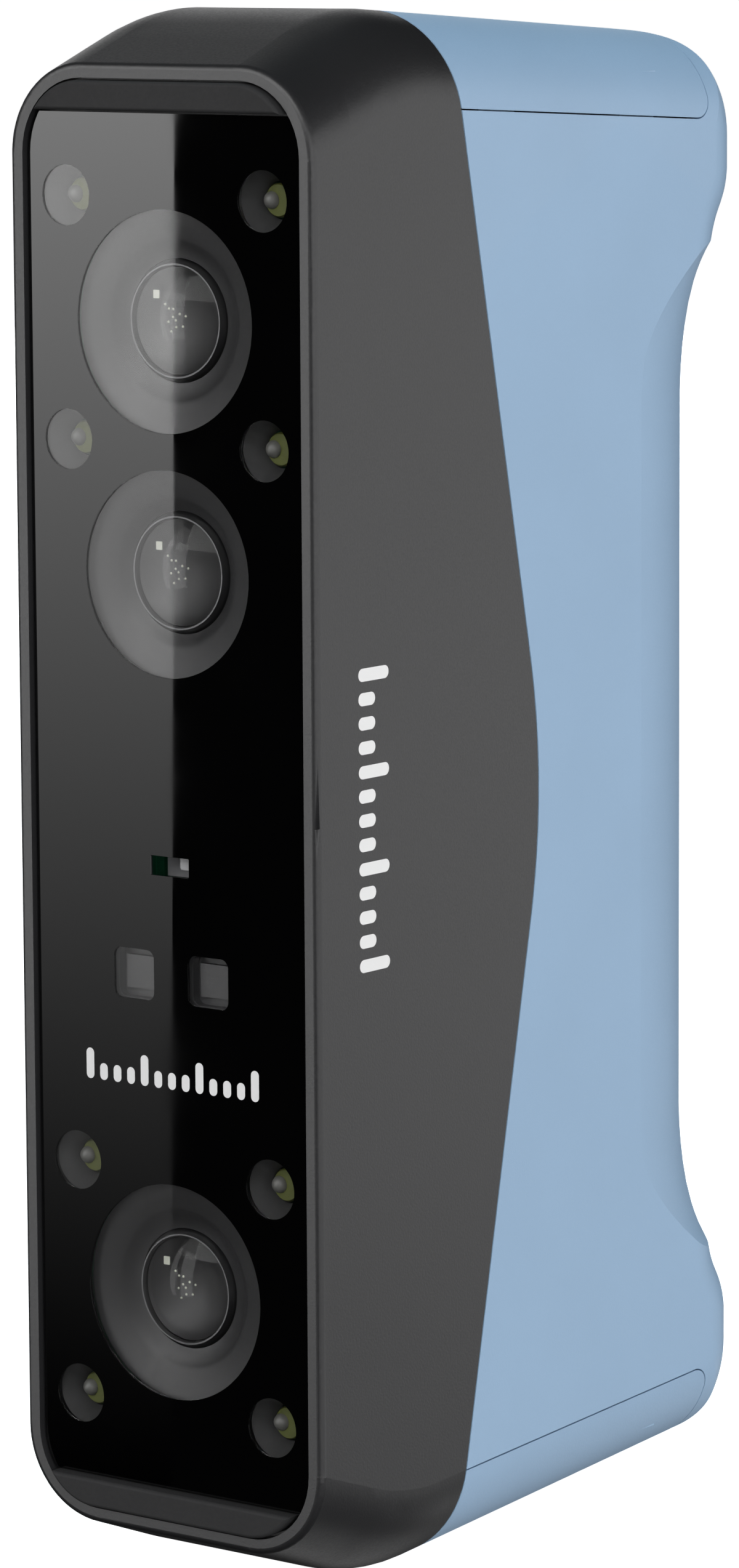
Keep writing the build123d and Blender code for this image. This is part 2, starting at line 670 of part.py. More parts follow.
# ---- Three camera modules: baffle, barrel, lens, housing and sensor board ----
BAFFLE_DEPTH = gasket_depth + 0.1
HOUSING_BACK = BENCH_BACK + HOUSING_DEPTH
HOUSING_SCREWS = [(x, z) for x in (-HOUSING_SCREW, HOUSING_SCREW) for z in (-HOUSING_SCREW, HOUSING_SCREW)]
camera_screw_points = []
for name, (height, radius) in CAMERAS.items():
    with BuildPart() as baffle:
        add(
            turned(
                (
                    (radius - 0.2, BAFFLE_DEPTH),
                    (radius + 0.5, BAFFLE_DEPTH),
                    (radius + 0.5, 4.0),
                    (11.4, 8.0),
                    (BARREL_RADIUS + 0.3, 8.0),
                    (BARREL_RADIUS + 0.3, 7.0),
                    (10.0, 7.0),
                    (11.0, 4.8),
                    (12.2, 4.8),
                ),
                0,
                height,
            )
        )
    pieces[name + "_camera_baffle"] = baffle
    with BuildPart() as barrel:
        add(
            turned(
                (
                    (6.6, 3.8),
                    (7.4, 3.8),
                    (BARREL_RADIUS, 4.4),
                    (BARREL_RADIUS, 20.0),
                    (5.2, 20.0),
                    (5.2, 12.5),
                    (6.2, 12.5),
                    (6.2, 5.6),
                ),
                0,
                height,
            )
        )
    pieces[name + "_lens_barrel"] = barrel
    with BuildPart() as lens:
        with BuildSketch(top_view(height)):
            with BuildLine():
                ThreePointArc(
                    (0, LENS_DEPTH),
                    (LENS_RADIUS / 2, LENS_DEPTH + arc_rise(LENS_RADIUS, LENS_DOME)),
                    (LENS_RADIUS, LENS_DEPTH + LENS_DOME),
                )
                Polyline(
                    (LENS_RADIUS, LENS_DEPTH + LENS_DOME),
                    (LENS_RADIUS, LENS_BACK),
                    (0, LENS_BACK),
                    (0, LENS_DEPTH),
                )
            make_face()
        revolve(axis=Axis((0, FRONT_Y, height), (0, 1, 0)))
    pieces[name + "_lens"] = lens
    screw_points = [(x, height + z) for x, z in HOUSING_SCREWS]
    camera_screw_points += screw_points
    with BuildPart() as housing:
        with BuildSketch(front_view(BENCH_BACK)):
            with Locations((0, height)):
                RectangleRounded(HOUSING, HOUSING, HOUSING_CORNER)
                Circle(BARREL_RADIUS + 0.05, mode=Mode.SUBTRACT)
            with Locations(*screw_points):
                Circle(HOUSING_HOLE_RADIUS, mode=Mode.SUBTRACT)
        extrude(amount=-HOUSING_DEPTH)
    pieces[name + "_camera_housing"] = housing
    with BuildPart() as sensor_board:
        with BuildSketch(front_view(HOUSING_BACK)):
            with Locations((0, height)):
                RectangleRounded(HOUSING, HOUSING, HOUSING_CORNER)
            with Locations(*screw_points):
                Circle(HOUSING_HOLE_RADIUS, mode=Mode.SUBTRACT)
        extrude(amount=-BOARD_THICKNESS)
        with BuildSketch(front_view(HOUSING_BACK)):
            with Locations((0, height)):
                Rectangle(*SENSOR_CHIP)
        extrude(amount=SENSOR_CHIP_HEIGHT)
        with BuildSketch(front_view(HOUSING_BACK + BOARD_THICKNESS)):
            with Locations((0, height)):
                Rectangle(*PLUG)
        extrude(amount=-PLUG_THICKNESS)
    pieces[name + "_sensor_board"] = sensor_board

with BuildPart() as camera_screws:
    add(screws(camera_screw_points, HOUSING_BACK + BOARD_THICKNESS, 1.8, 1.2, 1.0, BENCH_BACK + 0.1))
pieces["camera_screws"] = camera_screws

cable_start = HOUSING_BACK + BOARD_THICKNESS + PLUG_THICKNESS + 0.2
cable_end = MAIN_BOARD_DEPTH - PLUG_THICKNESS - 0.3
with BuildPart() as camera_cables:
    for height, plug_height in zip(CAMERA_HEIGHTS, PLUG_HEIGHTS):
        bend = height + (plug_height - height) * 0.45
        run = [(cable_start, height), (cable_start, bend), (cable_end, bend), (cable_end, plug_height)]
        add(ribbon(run, CABLE_WIDTH))
pieces["camera_cables"] = camera_cables

# ---- Eight ring lights: reflector cups, emitters and the boards behind them ----
reflector = turned(
    (
        (LIGHT_RADIUS - 0.1, BAFFLE_DEPTH),
        (LIGHT_RADIUS + 0.5, BAFFLE_DEPTH),
        (LIGHT_RADIUS + 0.5, 4.4),
        (3.2, LIGHT_BOARD_DEPTH - 0.1),
        (2.4, LIGHT_BOARD_DEPTH - 0.1),
        (2.4, 6.6),
    ),
    0,
    0,
)
with BuildPart() as light_reflectors:
    with Locations(*[(x, 0, z) for x, z in LIGHT_POINTS]):
        add(reflector)
pieces["light_reflectors"] = light_reflectors

emitter = turned(
    (
        (0, 5.9),
        (0.8, 6.1),
        (1.3, 6.6),
        (1.5, 7.1),
        (1.9, 7.1),
        (1.9, LIGHT_BOARD_DEPTH),
        (0, LIGHT_BOARD_DEPTH),
    ),
    0,
    0,
)
with BuildPart() as light_emitters:
    with Locations(*[(x, 0, z) for x, z in LIGHT_POINTS]):
        add(emitter)
pieces["light_emitters"] = light_emitters

light_board_z = (LIGHT_HEIGHTS[0] + LIGHT_HEIGHTS[1]) / 2
light_board_rows = (-light_board_z, light_board_z)
light_board_centres = [(x, z) for x in (-LIGHT_BOARD_X, LIGHT_BOARD_X) for z in light_board_rows]
with BuildPart() as light_boards:
    with BuildSketch(front_view(LIGHT_BOARD_DEPTH)):
        with Locations(*light_board_centres):
            RectangleRounded(*LIGHT_BOARD, LIGHT_BOARD_CORNER)
    extrude(amount=-LIGHT_BOARD_THICKNESS)
pieces["light_boards"] = light_boards

# ---- Pattern projectors, range sensor and their board ----
projector_points = [(-PROJECTOR_X, PROJECTOR_Z), (PROJECTOR_X, PROJECTOR_Z)]
with BuildPart() as pattern_projectors:
    with BuildSketch(front_view(BAFFLE_DEPTH)):
        with Locations(*projector_points):
            RectangleRounded(PROJECTOR_BODY, PROJECTOR_BODY, PROJECTOR_BODY_CORNER)
    extrude(amount=-(PROJECTOR_BOARD_DEPTH - BAFFLE_DEPTH))
    with BuildSketch(front_view(BAFFLE_DEPTH)):
        with Locations(*projector_points):
            RectangleRounded(PROJECTOR_WINDOW, PROJECTOR_WINDOW, PROJECTOR_CORNER)
            Rectangle(*PROJECTOR_LENS, mode=Mode.SUBTRACT)
    extrude(amount=-PROJECTOR_RECESS, mode=Mode.SUBTRACT)
    with BuildSketch(front_view(BAFFLE_DEPTH)):
        with Locations(*projector_points):
            Rectangle(*PROJECTOR_LENS)
    extrude(amount=-PROJECTOR_LENS_RECESS, mode=Mode.SUBTRACT)
pieces["pattern_projectors"] = pattern_projectors

with BuildPart() as range_sensor:
    with BuildSketch(front_view(BAFFLE_DEPTH + PROJECTOR_LENS_RECESS)):
        with Locations((SENSOR_X, SENSOR_Z + SENSOR_FACE_RISE)):
            RectangleRounded(*SENSOR_FACE, SENSOR_FACE_RISE)
    extrude(amount=-(PROJECTOR_BOARD_DEPTH - BAFFLE_DEPTH - PROJECTOR_LENS_RECESS))
    with BuildSketch(front_view(SENSOR_BODY_DEPTH)):
        with Locations((0, SENSOR_Z)):
            Rectangle(*SENSOR_BODY)
    extrude(amount=-(PROJECTOR_BOARD_DEPTH - SENSOR_BODY_DEPTH))
pieces["range_sensor"] = range_sensor

PROJECTOR_BOARD_BACK = PROJECTOR_BOARD_DEPTH + BOARD_THICKNESS
with BuildPart() as projector_board:
    add(
        plate(
            PROJECTOR_BOARD_DEPTH,
            BOARD_THICKNESS,
            PROJECTOR_BOARD_SIZE,
            PROJECTOR_BOARD_SIZE,
            PROJECTOR_BOARD_Z,
            HOUSING_CORNER,
        )
    )
pieces["projector_board"] = projector_board

offsets = (-LIGHT_SPACER_Z, LIGHT_SPACER_Z)
light_spacer_points = [(x, z + offset) for x, z in light_board_centres for offset in offsets]
sides = (-PROJECTOR_SPACER, PROJECTOR_SPACER)
projector_spacer_points = [(x, PROJECTOR_BOARD_Z + z) for x in sides for z in sides]
with BuildPart() as bench_spacers:
    with BuildSketch(front_view(LIGHT_BOARD_DEPTH + LIGHT_BOARD_THICKNESS)):
        with Locations(*light_spacer_points):
            Circle(SPACER_RADIUS)
    extrude(amount=-(BENCH_DEPTH - LIGHT_BOARD_DEPTH - LIGHT_BOARD_THICKNESS))
    with BuildSketch(front_view(PROJECTOR_BOARD_BACK)):
        with Locations(*projector_spacer_points):
            Circle(SPACER_RADIUS)
    extrude(amount=-(BENCH_DEPTH - PROJECTOR_BOARD_BACK))
pieces["bench_spacers"] = bench_spacers

with BuildPart() as bench_screws:
    add(screws(BOSS_POINTS, BENCH_BACK, 2.3, 1.7, 1.2, 7.0))
pieces["bench_screws"] = bench_screws

# ---- Main board, its spacers, heat sink, radio and buzzer ----
with BuildPart() as main_board:
    with BuildSketch(front_view(MAIN_BOARD_DEPTH)):
        RectangleRounded(2 * MAIN_BOARD_HALF_WIDTH, 2 * MAIN_BOARD_HALF_HEIGHT, MAIN_BOARD_CORNER)
        with Locations(*SPACER_POINTS):
            Circle(MAIN_BOARD_HOLE, mode=Mode.SUBTRACT)
    extrude(amount=-BOARD_THICKNESS)
    with BuildSketch(front_view(MAIN_BOARD_BACK)):
        with Locations((0, PROCESSOR_Z)):
            Rectangle(PROCESSOR, PROCESSOR)
        with Locations(*MEMORY_POINTS):
            Rectangle(*MEMORY)
    extrude(amount=-CHIP_HEIGHT)
    with BuildSketch(front_view(MAIN_BOARD_DEPTH)):
        with Locations(*[(0, height) for height in PLUG_HEIGHTS]):
            Rectangle(*PLUG)
    extrude(amount=PLUG_THICKNESS)
pieces["main_board"] = main_board

with BuildPart() as board_spacers:
    with BuildSketch(front_view(BENCH_BACK)):
        with Locations(*SPACER_POINTS):
            RegularPolygon(2.6, 6)
            Circle(HOUSING_HOLE_RADIUS, mode=Mode.SUBTRACT)
    extrude(amount=-(MAIN_BOARD_DEPTH - BENCH_BACK))
pieces["board_spacers"] = board_spacers

with BuildPart() as board_screws:
    add(screws(SPACER_POINTS, MAIN_BOARD_BACK, 2.2, 1.4, 1.05, 30.0))
pieces["board_screws"] = board_screws

CHIP_TOP = MAIN_BOARD_BACK + CHIP_HEIGHT
with BuildPart() as thermal_pad:
    add(plate(CHIP_TOP, THERMAL_PAD_THICKNESS, *THERMAL_PAD, PROCESSOR_Z))
pieces["thermal_pad"] = thermal_pad

SINK_BASE = CHIP_TOP + THERMAL_PAD_THICKNESS
with BuildPart() as heat_sink:
    with BuildSketch(front_view(SINK_BASE)):
        with Locations((0, PROCESSOR_Z)):
            Rectangle(*SINK)
    extrude(amount=-SINK_BASE_THICKNESS)
    with BuildSketch(front_view(SINK_BASE + SINK_BASE_THICKNESS)):
        with Locations((0, PROCESSOR_Z)):
            with GridLocations(SINK_FIN_PITCH, SINK[1], SINK_FIN_COUNT, 1):
                Rectangle(SINK_FIN, SINK[1])
    extrude(amount=-SINK_FIN_HEIGHT)
pieces["heat_sink"] = heat_sink

with BuildPart() as wireless_module:
    add(plate(MAIN_BOARD_BACK, RADIO_HEIGHT, *RADIO, RADIO_Z, 1.0))
pieces["wireless_module"] = wireless_module

with BuildPart() as buzzer:
    with BuildSketch(front_view(MAIN_BOARD_BACK)):
        with Locations((0, BUZZER_Z)):
            Circle(BUZZER_RADIUS)
    extrude(amount=-BUZZER_HEIGHT)
    with BuildSketch(front_view(MAIN_BOARD_BACK + BUZZER_HEIGHT)):
        with Locations((0, BUZZER_Z)):
            Circle(1)
    extrude(amount=1, mode=Mode.SUBTRACT)
pieces["buzzer"] = buzzer

# ---- Battery in the grip and its tray ----
with BuildPart() as battery_cells:
    with BuildSketch(top_view(-CELL_LENGTH / 2)):
        with Locations((-CELL_X, CELL_DEPTH), (CELL_X, CELL_DEPTH)):
            Circle(CELL_RADIUS)
    extrude(amount=CELL_LENGTH)
    with BuildSketch(top_view(CELL_LENGTH / 2)):
        with Locations((-CELL_X, CELL_DEPTH), (CELL_X, CELL_DEPTH)):
            Circle(TERMINAL_RADIUS)
    extrude(amount=TERMINAL_HEIGHT)
pieces["battery_cells"] = battery_cells

with BuildPart() as battery_tray:
    with BuildSketch(front_view(TRAY_FRONT)):
        RectangleRounded(TRAY_WIDTH, TRAY_HEIGHT, TRAY_CORNER)
    extrude(amount=-(TRAY_BACK - TRAY_FRONT))
    with BuildSketch(top_view(-CELL_LENGTH / 2 - 0.1)):
        with Locations((-CELL_X, CELL_DEPTH), (CELL_X, CELL_DEPTH)):
            Circle(CELL_RADIUS + 0.15)
    extrude(amount=CELL_LENGTH + TERMINAL_HEIGHT + 0.2, mode=Mode.SUBTRACT)
    with BuildSketch(front_view(TRAY_FRONT)):
        with Locations(*TRAY_LEG_POINTS):
            Circle(TRAY_LEG_RADIUS)
    extrude(amount=TRAY_FRONT - MAIN_BOARD_BACK)
pieces["battery_tray"] = battery_tray

# ---- Button board, switches, control panel, buttons and light pipe ----
BUTTON_BOARD_BACK = BUTTON_BOARD_DEPTH + BUTTON_BOARD_THICKNESS
BUTTON_HEIGHTS = (SIDE_BUTTON_Z, 0.0, -SIDE_BUTTON_Z, POWER_Z)
with BuildPart() as button_board:
    with BuildSketch(front_view(BUTTON_BOARD_DEPTH)):
        with Locations((0, BUTTON_BOARD_Z)):
            RectangleRounded(*BUTTON_BOARD, BUTTON_BOARD_CORNER)
        with Locations(*BUTTON_BOSS_POINTS):
            Circle(BUTTON_BOARD_HOLE, mode=Mode.SUBTRACT)
    extrude(amount=-BUTTON_BOARD_THICKNESS)
pieces["button_board"] = button_board

with BuildPart() as button_switches:
    with BuildSketch(front_view(BUTTON_BOARD_BACK)):
        with Locations(*[(0, z) for z in BUTTON_HEIGHTS]):
            RectangleRounded(SWITCH_SIZE, SWITCH_SIZE, 0.5)
    extrude(amount=-SWITCH_HEIGHT)
    with BuildSketch(front_view(BUTTON_BOARD_BACK + SWITCH_HEIGHT)):
        with Locations(*[(0, z) for z in BUTTON_HEIGHTS]):
            Circle(PLUNGER_RADIUS)
    extrude(amount=-PLUNGER_HEIGHT)
pieces["button_switches"] = button_switches

with BuildPart() as button_board_screws:
    add(screws(BUTTON_BOSS_POINTS, BUTTON_BOARD_DEPTH, 1.7, 1.2, 0.9, 89.0))
pieces["button_board_screws"] = button_board_screws

with BuildPart() as button_cable:
    add(
        ribbon(
            [
                (BUTTON_BOARD_DEPTH - 0.2, BUTTON_CABLE_Z - 3),
                (BUTTON_BOARD_DEPTH - 4, BUTTON_CABLE_Z),
                (BUTTON_CABLE_BEND, BUTTON_CABLE_Z),
                (MAIN_BOARD_BACK + 0.3, BUTTON_CABLE_Z + 3),
            ],
            BUTTON_CABLE_WIDTH,
        )
    )
pieces["button_cable"] = button_cable

with BuildPart() as control_panel:
    with BuildSketch(front_view(PANEL_SEAT)):
        SlotOverall(PANEL_LENGTH, PANEL_WIDTH, rotation=90)
        Circle(SCAN_RADIUS + BUTTON_CLEARANCE, mode=Mode.SUBTRACT)
        with Locations((0, SIDE_BUTTON_Z), (0, -SIDE_BUTTON_Z)):
            Circle(SIDE_BUTTON_RADIUS + BUTTON_CLEARANCE, mode=Mode.SUBTRACT)
        with Locations((0, LIGHT_PIPE_Z)):
            Circle(LIGHT_PIPE_RADIUS + 0.05, mode=Mode.SUBTRACT)
    extrude(amount=-(PANEL_FACE - PANEL_SEAT))
    fillet(control_panel.faces().sort_by(Axis.Y)[-1].outer_wire().edges(), 0.3)
pieces["control_panel"] = control_panel

with BuildPart() as status_light:
    add(
        turned(
            (
                (0, BUTTON_BOARD_BACK + 0.6),
                (LIGHT_PIPE_RADIUS, BUTTON_BOARD_BACK + 0.6),
                (LIGHT_PIPE_RADIUS, PANEL_FACE),
                (0, PANEL_FACE + 0.15),
            ),
            0,
            LIGHT_PIPE_Z,
        )
    )
pieces["status_light"] = status_light


def button(radius, height, flange_top, face):
    """A round push button: a dished cap, a retaining flange inside the casing and a stem."""
    rim = radius - 0.5
    middle = arc_rise(rim, BUTTON_DISH)
    with BuildPart() as cap:
        with BuildSketch(top_view(height)):
            with BuildLine():
                Polyline(
                    (0, face - BUTTON_DISH),
                    (0, STEM_END),
                    (STEM_RADIUS, STEM_END),
                    (STEM_RADIUS, flange_top - BUTTON_FLANGE),
                    (radius + 0.6, flange_top - BUTTON_FLANGE),
                    (radius + 0.6, flange_top),
                    (radius, flange_top),
                    (radius, face - 0.5),
                    (rim, face),
                )
                ThreePointArc((rim, face), (rim / 2, face - BUTTON_DISH + middle), (0, face - BUTTON_DISH))
            make_face()
        revolve(axis=Axis((0, FRONT_Y, height), (0, 1, 0)))
    return cap.part


BUTTON_FACE = PANEL_FACE + 0.6
PANEL_FLANGE = PANEL_SEAT - 0.2
POWER_FLANGE = GRIP_DEPTH - WALL - 0.2
with BuildPart() as scan_button:
    add(button(SCAN_RADIUS, 0.0, PANEL_FLANGE, BUTTON_FACE))
pieces["scan_button"] = scan_button

with BuildPart() as up_button:
    add(button(SIDE_BUTTON_RADIUS, SIDE_BUTTON_Z, PANEL_FLANGE, BUTTON_FACE))
pieces["up_button"] = up_button

with BuildPart() as down_button:
    add(button(SIDE_BUTTON_RADIUS, -SIDE_BUTTON_Z, PANEL_FLANGE, BUTTON_FACE))
pieces["down_button"] = down_button

with BuildPart() as power_button:
    add(button(POWER_RADIUS, POWER_Z, POWER_FLANGE, GRIP_DEPTH + 0.5))
pieces["power_button"] = power_button

# ---- Bottom end: charging socket on its board, tripod bracket and threaded insert ----
with BuildPart() as charging_socket:
    with BuildSketch(top_view(SOCKET_MOUTH_Z)):
        with Locations((0, SOCKET_DEPTH)):
            SlotOverall(SOCKET_WIDTH, SOCKET_HEIGHT)
    extrude(amount=SOCKET_LENGTH)
    with BuildSketch(top_view(SOCKET_MOUTH_Z)):
        with Locations((0, SOCKET_DEPTH)):
            SlotOverall(SOCKET_WIDTH - 2 * SOCKET_WALL, SOCKET_HEIGHT - 2 * SOCKET_WALL)
            Rectangle(*SOCKET_TONGUE, mode=Mode.SUBTRACT)
    extrude(amount=SOCKET_LENGTH - 1, mode=Mode.SUBTRACT)
pieces["charging_socket"] = charging_socket

END_WALL_OUTER = END_WALL_INNER + END_WALL
with BuildPart() as charging_board:
    with BuildSketch(front_view(SOCKET_DEPTH + SOCKET_HEIGHT / 2)):
        with Locations((0, -(END_WALL_OUTER + CHARGING_BOARD_END) / 2)):
            Rectangle(CHARGING_BOARD_WIDTH, CHARGING_BOARD_END - END_WALL_OUTER)
    extrude(amount=-CHARGING_BOARD_THICKNESS)
    with BuildSketch(front_view(SOCKET_DEPTH + SOCKET_HEIGHT / 2)):
        with Locations(*CHARGING_CHIPS):
            Rectangle(*CHARGING_CHIP)
    extrude(amount=CHARGING_BOARD_THICKNESS)
pieces["charging_board"] = charging_board

column_top = TRIPOD_FACE_Z + TRIPOD_FLANGE
with BuildPart() as tripod_bracket:
    with BuildSketch(top_view(-END_WALL_OUTER)):
        with Locations((0, TRIPOD_DEPTH + 1)):
            RectangleRounded(*TRIPOD_BASE, 2)
    extrude(amount=-TRIPOD_BASE_THICKNESS)
    with BuildSketch(top_view(-END_WALL_OUTER)):
        with Locations((0, TRIPOD_DEPTH)):
            Circle(TRIPOD_COLUMN_RADIUS)
    extrude(amount=column_top + END_WALL_OUTER)
    with BuildSketch(top_view(column_top)):
        with Locations((0, TRIPOD_DEPTH)):
            Circle(TRIPOD_BODY_RADIUS)
    extrude(amount=TRIPOD_BODY_LENGTH - TRIPOD_FLANGE, mode=Mode.SUBTRACT)
pieces["tripod_bracket"] = tripod_bracket

with BuildPart() as tripod_insert:
    with BuildSketch(top_view(TRIPOD_FACE_Z)):
        with Locations((0, TRIPOD_DEPTH)):
            Circle(TRIPOD_FLANGE_RADIUS)
    extrude(amount=TRIPOD_FLANGE)
    with BuildSketch(top_view(TRIPOD_FACE_Z)):
        with Locations((0, TRIPOD_DEPTH)):
            Circle(TRIPOD_BODY_RADIUS)
    extrude(amount=TRIPOD_BODY_LENGTH)
    with BuildSketch(top_view(TRIPOD_FACE_Z)):
        with Locations((0, TRIPOD_DEPTH)):
            Circle(TRIPOD_THREAD_RADIUS)
    extrude(amount=TRIPOD_THREAD_LENGTH, mode=Mode.SUBTRACT)
pieces["tripod_insert"] = tripod_insert

with BuildPart() as case_screws:
    for side in (-1, 1):
        for x in (-CASE_SCREW_X, CASE_SCREW_X):
            y = FRONT_Y + CASE_SCREW_DEPTH
            with Locations((x, y, side * (END_WALL_OUTER + CASE_SCREW_HEAD_HEIGHT / 2))):
                Cylinder(CASE_SCREW_HEAD, CASE_SCREW_HEAD_HEIGHT)
            with Locations((x, y, side * (END_WALL_OUTER - CASE_SCREW_LENGTH / 2 + 0.1))):
                Cylinder(CASE_SCREW_RADIUS, CASE_SCREW_LENGTH)
pieces["case_screws"] = case_screws

os.makedirs("parts", exist_ok=True)
for name, piece in pieces.items():
    piece.part.label = name
    export_step(piece.part, "parts/" + name + ".step")
print(len(pieces), "sub-parts written")
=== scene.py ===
import json
import math

import bmesh
import bpy
from mathutils import Matrix, Vector


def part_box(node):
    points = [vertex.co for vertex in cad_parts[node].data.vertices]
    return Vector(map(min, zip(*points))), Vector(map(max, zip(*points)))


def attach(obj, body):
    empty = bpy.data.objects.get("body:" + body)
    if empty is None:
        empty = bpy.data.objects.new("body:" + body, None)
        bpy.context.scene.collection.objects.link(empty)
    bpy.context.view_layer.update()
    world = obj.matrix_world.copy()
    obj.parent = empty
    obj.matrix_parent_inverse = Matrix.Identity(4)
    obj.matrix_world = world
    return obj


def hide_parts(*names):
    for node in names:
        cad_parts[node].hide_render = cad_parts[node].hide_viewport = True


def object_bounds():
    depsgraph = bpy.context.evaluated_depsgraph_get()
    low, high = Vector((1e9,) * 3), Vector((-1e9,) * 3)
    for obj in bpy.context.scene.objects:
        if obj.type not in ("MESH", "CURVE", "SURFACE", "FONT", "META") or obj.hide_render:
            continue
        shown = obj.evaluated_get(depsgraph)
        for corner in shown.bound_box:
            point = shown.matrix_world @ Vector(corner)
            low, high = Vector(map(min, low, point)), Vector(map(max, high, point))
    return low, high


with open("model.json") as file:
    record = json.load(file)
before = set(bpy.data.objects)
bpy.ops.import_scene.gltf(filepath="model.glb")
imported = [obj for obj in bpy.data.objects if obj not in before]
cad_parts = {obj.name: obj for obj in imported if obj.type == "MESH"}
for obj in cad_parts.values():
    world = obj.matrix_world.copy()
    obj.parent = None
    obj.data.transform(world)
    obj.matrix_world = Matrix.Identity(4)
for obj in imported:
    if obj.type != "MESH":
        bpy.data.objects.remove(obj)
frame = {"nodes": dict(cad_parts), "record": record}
cad_low, cad_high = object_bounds()

MM = 0.001
ROOT = "scanner"
RIM_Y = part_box("front_bezel")[0].y
GLASS_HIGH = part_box("front_glass")[1]
CAMERAS = ("upper", "middle", "lower")
LIGHT_X = 16.2 * MM
LIGHT_HEIGHTS = [side * height * MM for side in (1, -1) for height in (79.55, 47.87)]
LIGHT_POINTS = [(side * LIGHT_X, height) for side in (-1, 1) for height in LIGHT_HEIGHTS]
LIGHT_RADIUS = 3.95 * MM
PROJECTOR_X = 6.2 * MM
PROJECTOR_Z = -21.8 * MM
PROJECTOR_SIZE = 6.7 * MM
SENSOR_Z = -7.1 * MM
SENSOR_SIZE = (6.35 * MM, 2.6 * MM)
PRINT_DEPTH = 0.8 * MM
PRINT_THICKNESS = 0.35 * MM
PRINT_HALF_HEIGHT = 94.25 * MM
PRINT_CORNER = 9.35 * MM
PANE_SINK = 0.01 * MM
PANE_THICKNESS = 0.2 * MM
PROJECTOR_CORNER = 1.2 * MM
SENSOR_CORNER = 0.12 * MM
WINDOW_INSET = 0.5 * MM
CUP_LIP = 0.3 * MM
CUP_MOUTH = 1.9 * MM
CUP_BACK = 5.2 * MM
CHIP_RADIUS = 2.2 * MM
CHIP_FACE = 4.1 * MM
CHIP_BACK = 7.7 * MM
# Each light's dome sits left of its chip's centre, where the highlight on the light's lens falls. Its pale
# colour is a painted highlight.
LIGHT_DOME_RADIUS = 1.15 * MM
LIGHT_DOME_HIGHLIGHT_SHIFT = 1.0 * MM
LIGHT_DOME_BACK = 4.15 * MM
FUNNEL_WIDTH = 4.1 * MM
FUNNEL_FIT = 0.05 * MM
BARREL_RADIUS = 8.0 * MM
BARREL_BACK_RADIUS = 5.2 * MM
BARREL_BACK = 20.0 * MM
LENS_RADIUS = 7.0 * MM
LENS_RISE = 1.9 * MM
LENS_APEX = 1.5 * MM
DOME_BACK = 3.6 * MM
BOWL_RADIUS = LENS_RADIUS - 0.1 * MM
BOWL_APEX = 5.6 * MM
BOWL_BACK = 6.2 * MM
# Painted highlights in each lens: small pale specks and one square patch behind the dome stand in for lamps
# mirrored in the lens elements. They are not parts of the real lens.
GLINT_SPECK_COUNT = 9
GLINT_SPECK_SPACING = 0.62 * MM
GLINT_SPECK_TURN = 2.4
GLINT_SPECK_RADIUS = 0.17 * MM
GLINT_SPECK_SHIFT = 0.5 * MM
GLINT_SPECK_DEPTH = 3.7 * MM
GLINT_X = -3.6 * MM
GLINT_Z = 3.3 * MM
GLINT_HALF_SIZE = (0.5 * MM, 0.55 * MM)
GLINT_CORNER = 0.12 * MM
GLINT_TRAIL = (0.45, 0.62)
MARK_COUNT = 13
MARK_LONG_EVERY = 4
MARK_SHORT_SHARE = 0.55
FRONT_MARK_SIZE = (30.0 * MM, 4.1 * MM, 1.3 * MM)
SIDE_MARK_SIZE = (41.0 * MM, 6.4 * MM, 1.7 * MM)
MARK_THICKNESS = 0.02 * MM
MARK_FRONT_Z = -34.55 * MM
MARK_SIDE_DEPTH = 11.9 * MM
ICON_SINK = 0.13 * MM
ICON_THICKNESS = 0.2 * MM
SHARP_ANGLE = math.radians(35)
PLUS_REACH = 1.7 * MM
ICON_STROKE = 0.6 * MM
SCAN_RING_RADII = (2.6 * MM, 2.1 * MM)
SCAN_DOT_RADIUS = 0.8 * MM
POWER_RING_RADII = (1.5 * MM, 1.05 * MM)

CAMERA_AZIMUTH = math.radians(37.374)
CAMERA_ELEVATION = math.radians(8.441)
CAMERA_ROLL = math.radians(-0.328)
CAMERA_TARGET = Vector((18.38 * MM, RIM_Y + 20.0 * MM, 1.77 * MM))
CAMERA_DISTANCE = 799.7 * MM
CAMERA_LENS = 140.774
CAMERA_SHIFT = (-0.00122, 0.0062)

WORLD_LIGHT = 0.012
FLOOR_GLOW = 1.0
CARD_DISTANCE = 1.0
CARD_OUTER_X = -32 * MM
CARD_EDGE_TOP_X = 2.2 * MM
CARD_EDGE_FOOT_X = -0.97 * MM
CARD_TOP = 100 * MM
CARD_FOOT = -96 * MM
CARD_FALLOFF = 2.1
CARD_RADIANCE = 4.4


def at_depth(depth):
    """Row Y of a depth behind the front rim."""
    return RIM_Y + depth


# ---------------------------------------------------------------- materials


def start_material(name):
    """A node material with one Principled shader fed from the object's own coordinates."""
    made = bpy.data.materials.new(name)
    made.use_nodes = True
    nodes = made.node_tree.nodes
    nodes.clear()
    output = nodes.new("ShaderNodeOutputMaterial")
    shader = nodes.new("ShaderNodeBsdfPrincipled")
    made.node_tree.links.new(shader.outputs[0], output.inputs[0])
    coordinates = nodes.new("ShaderNodeTexCoord")
    return made, shader, coordinates.outputs["Object"]


def noise(made, coordinates, size, detail=3.0):
    """Noise whose blobs are about the given size in metres."""
    texture = made.node_tree.nodes.new("ShaderNodeTexNoise")
    texture.inputs["Scale"].default_value = 0.5 / size
    texture.inputs["Detail"].default_value = detail
    made.node_tree.links.new(coordinates, texture.inputs["Vector"])
    return texture.outputs["Fac"]


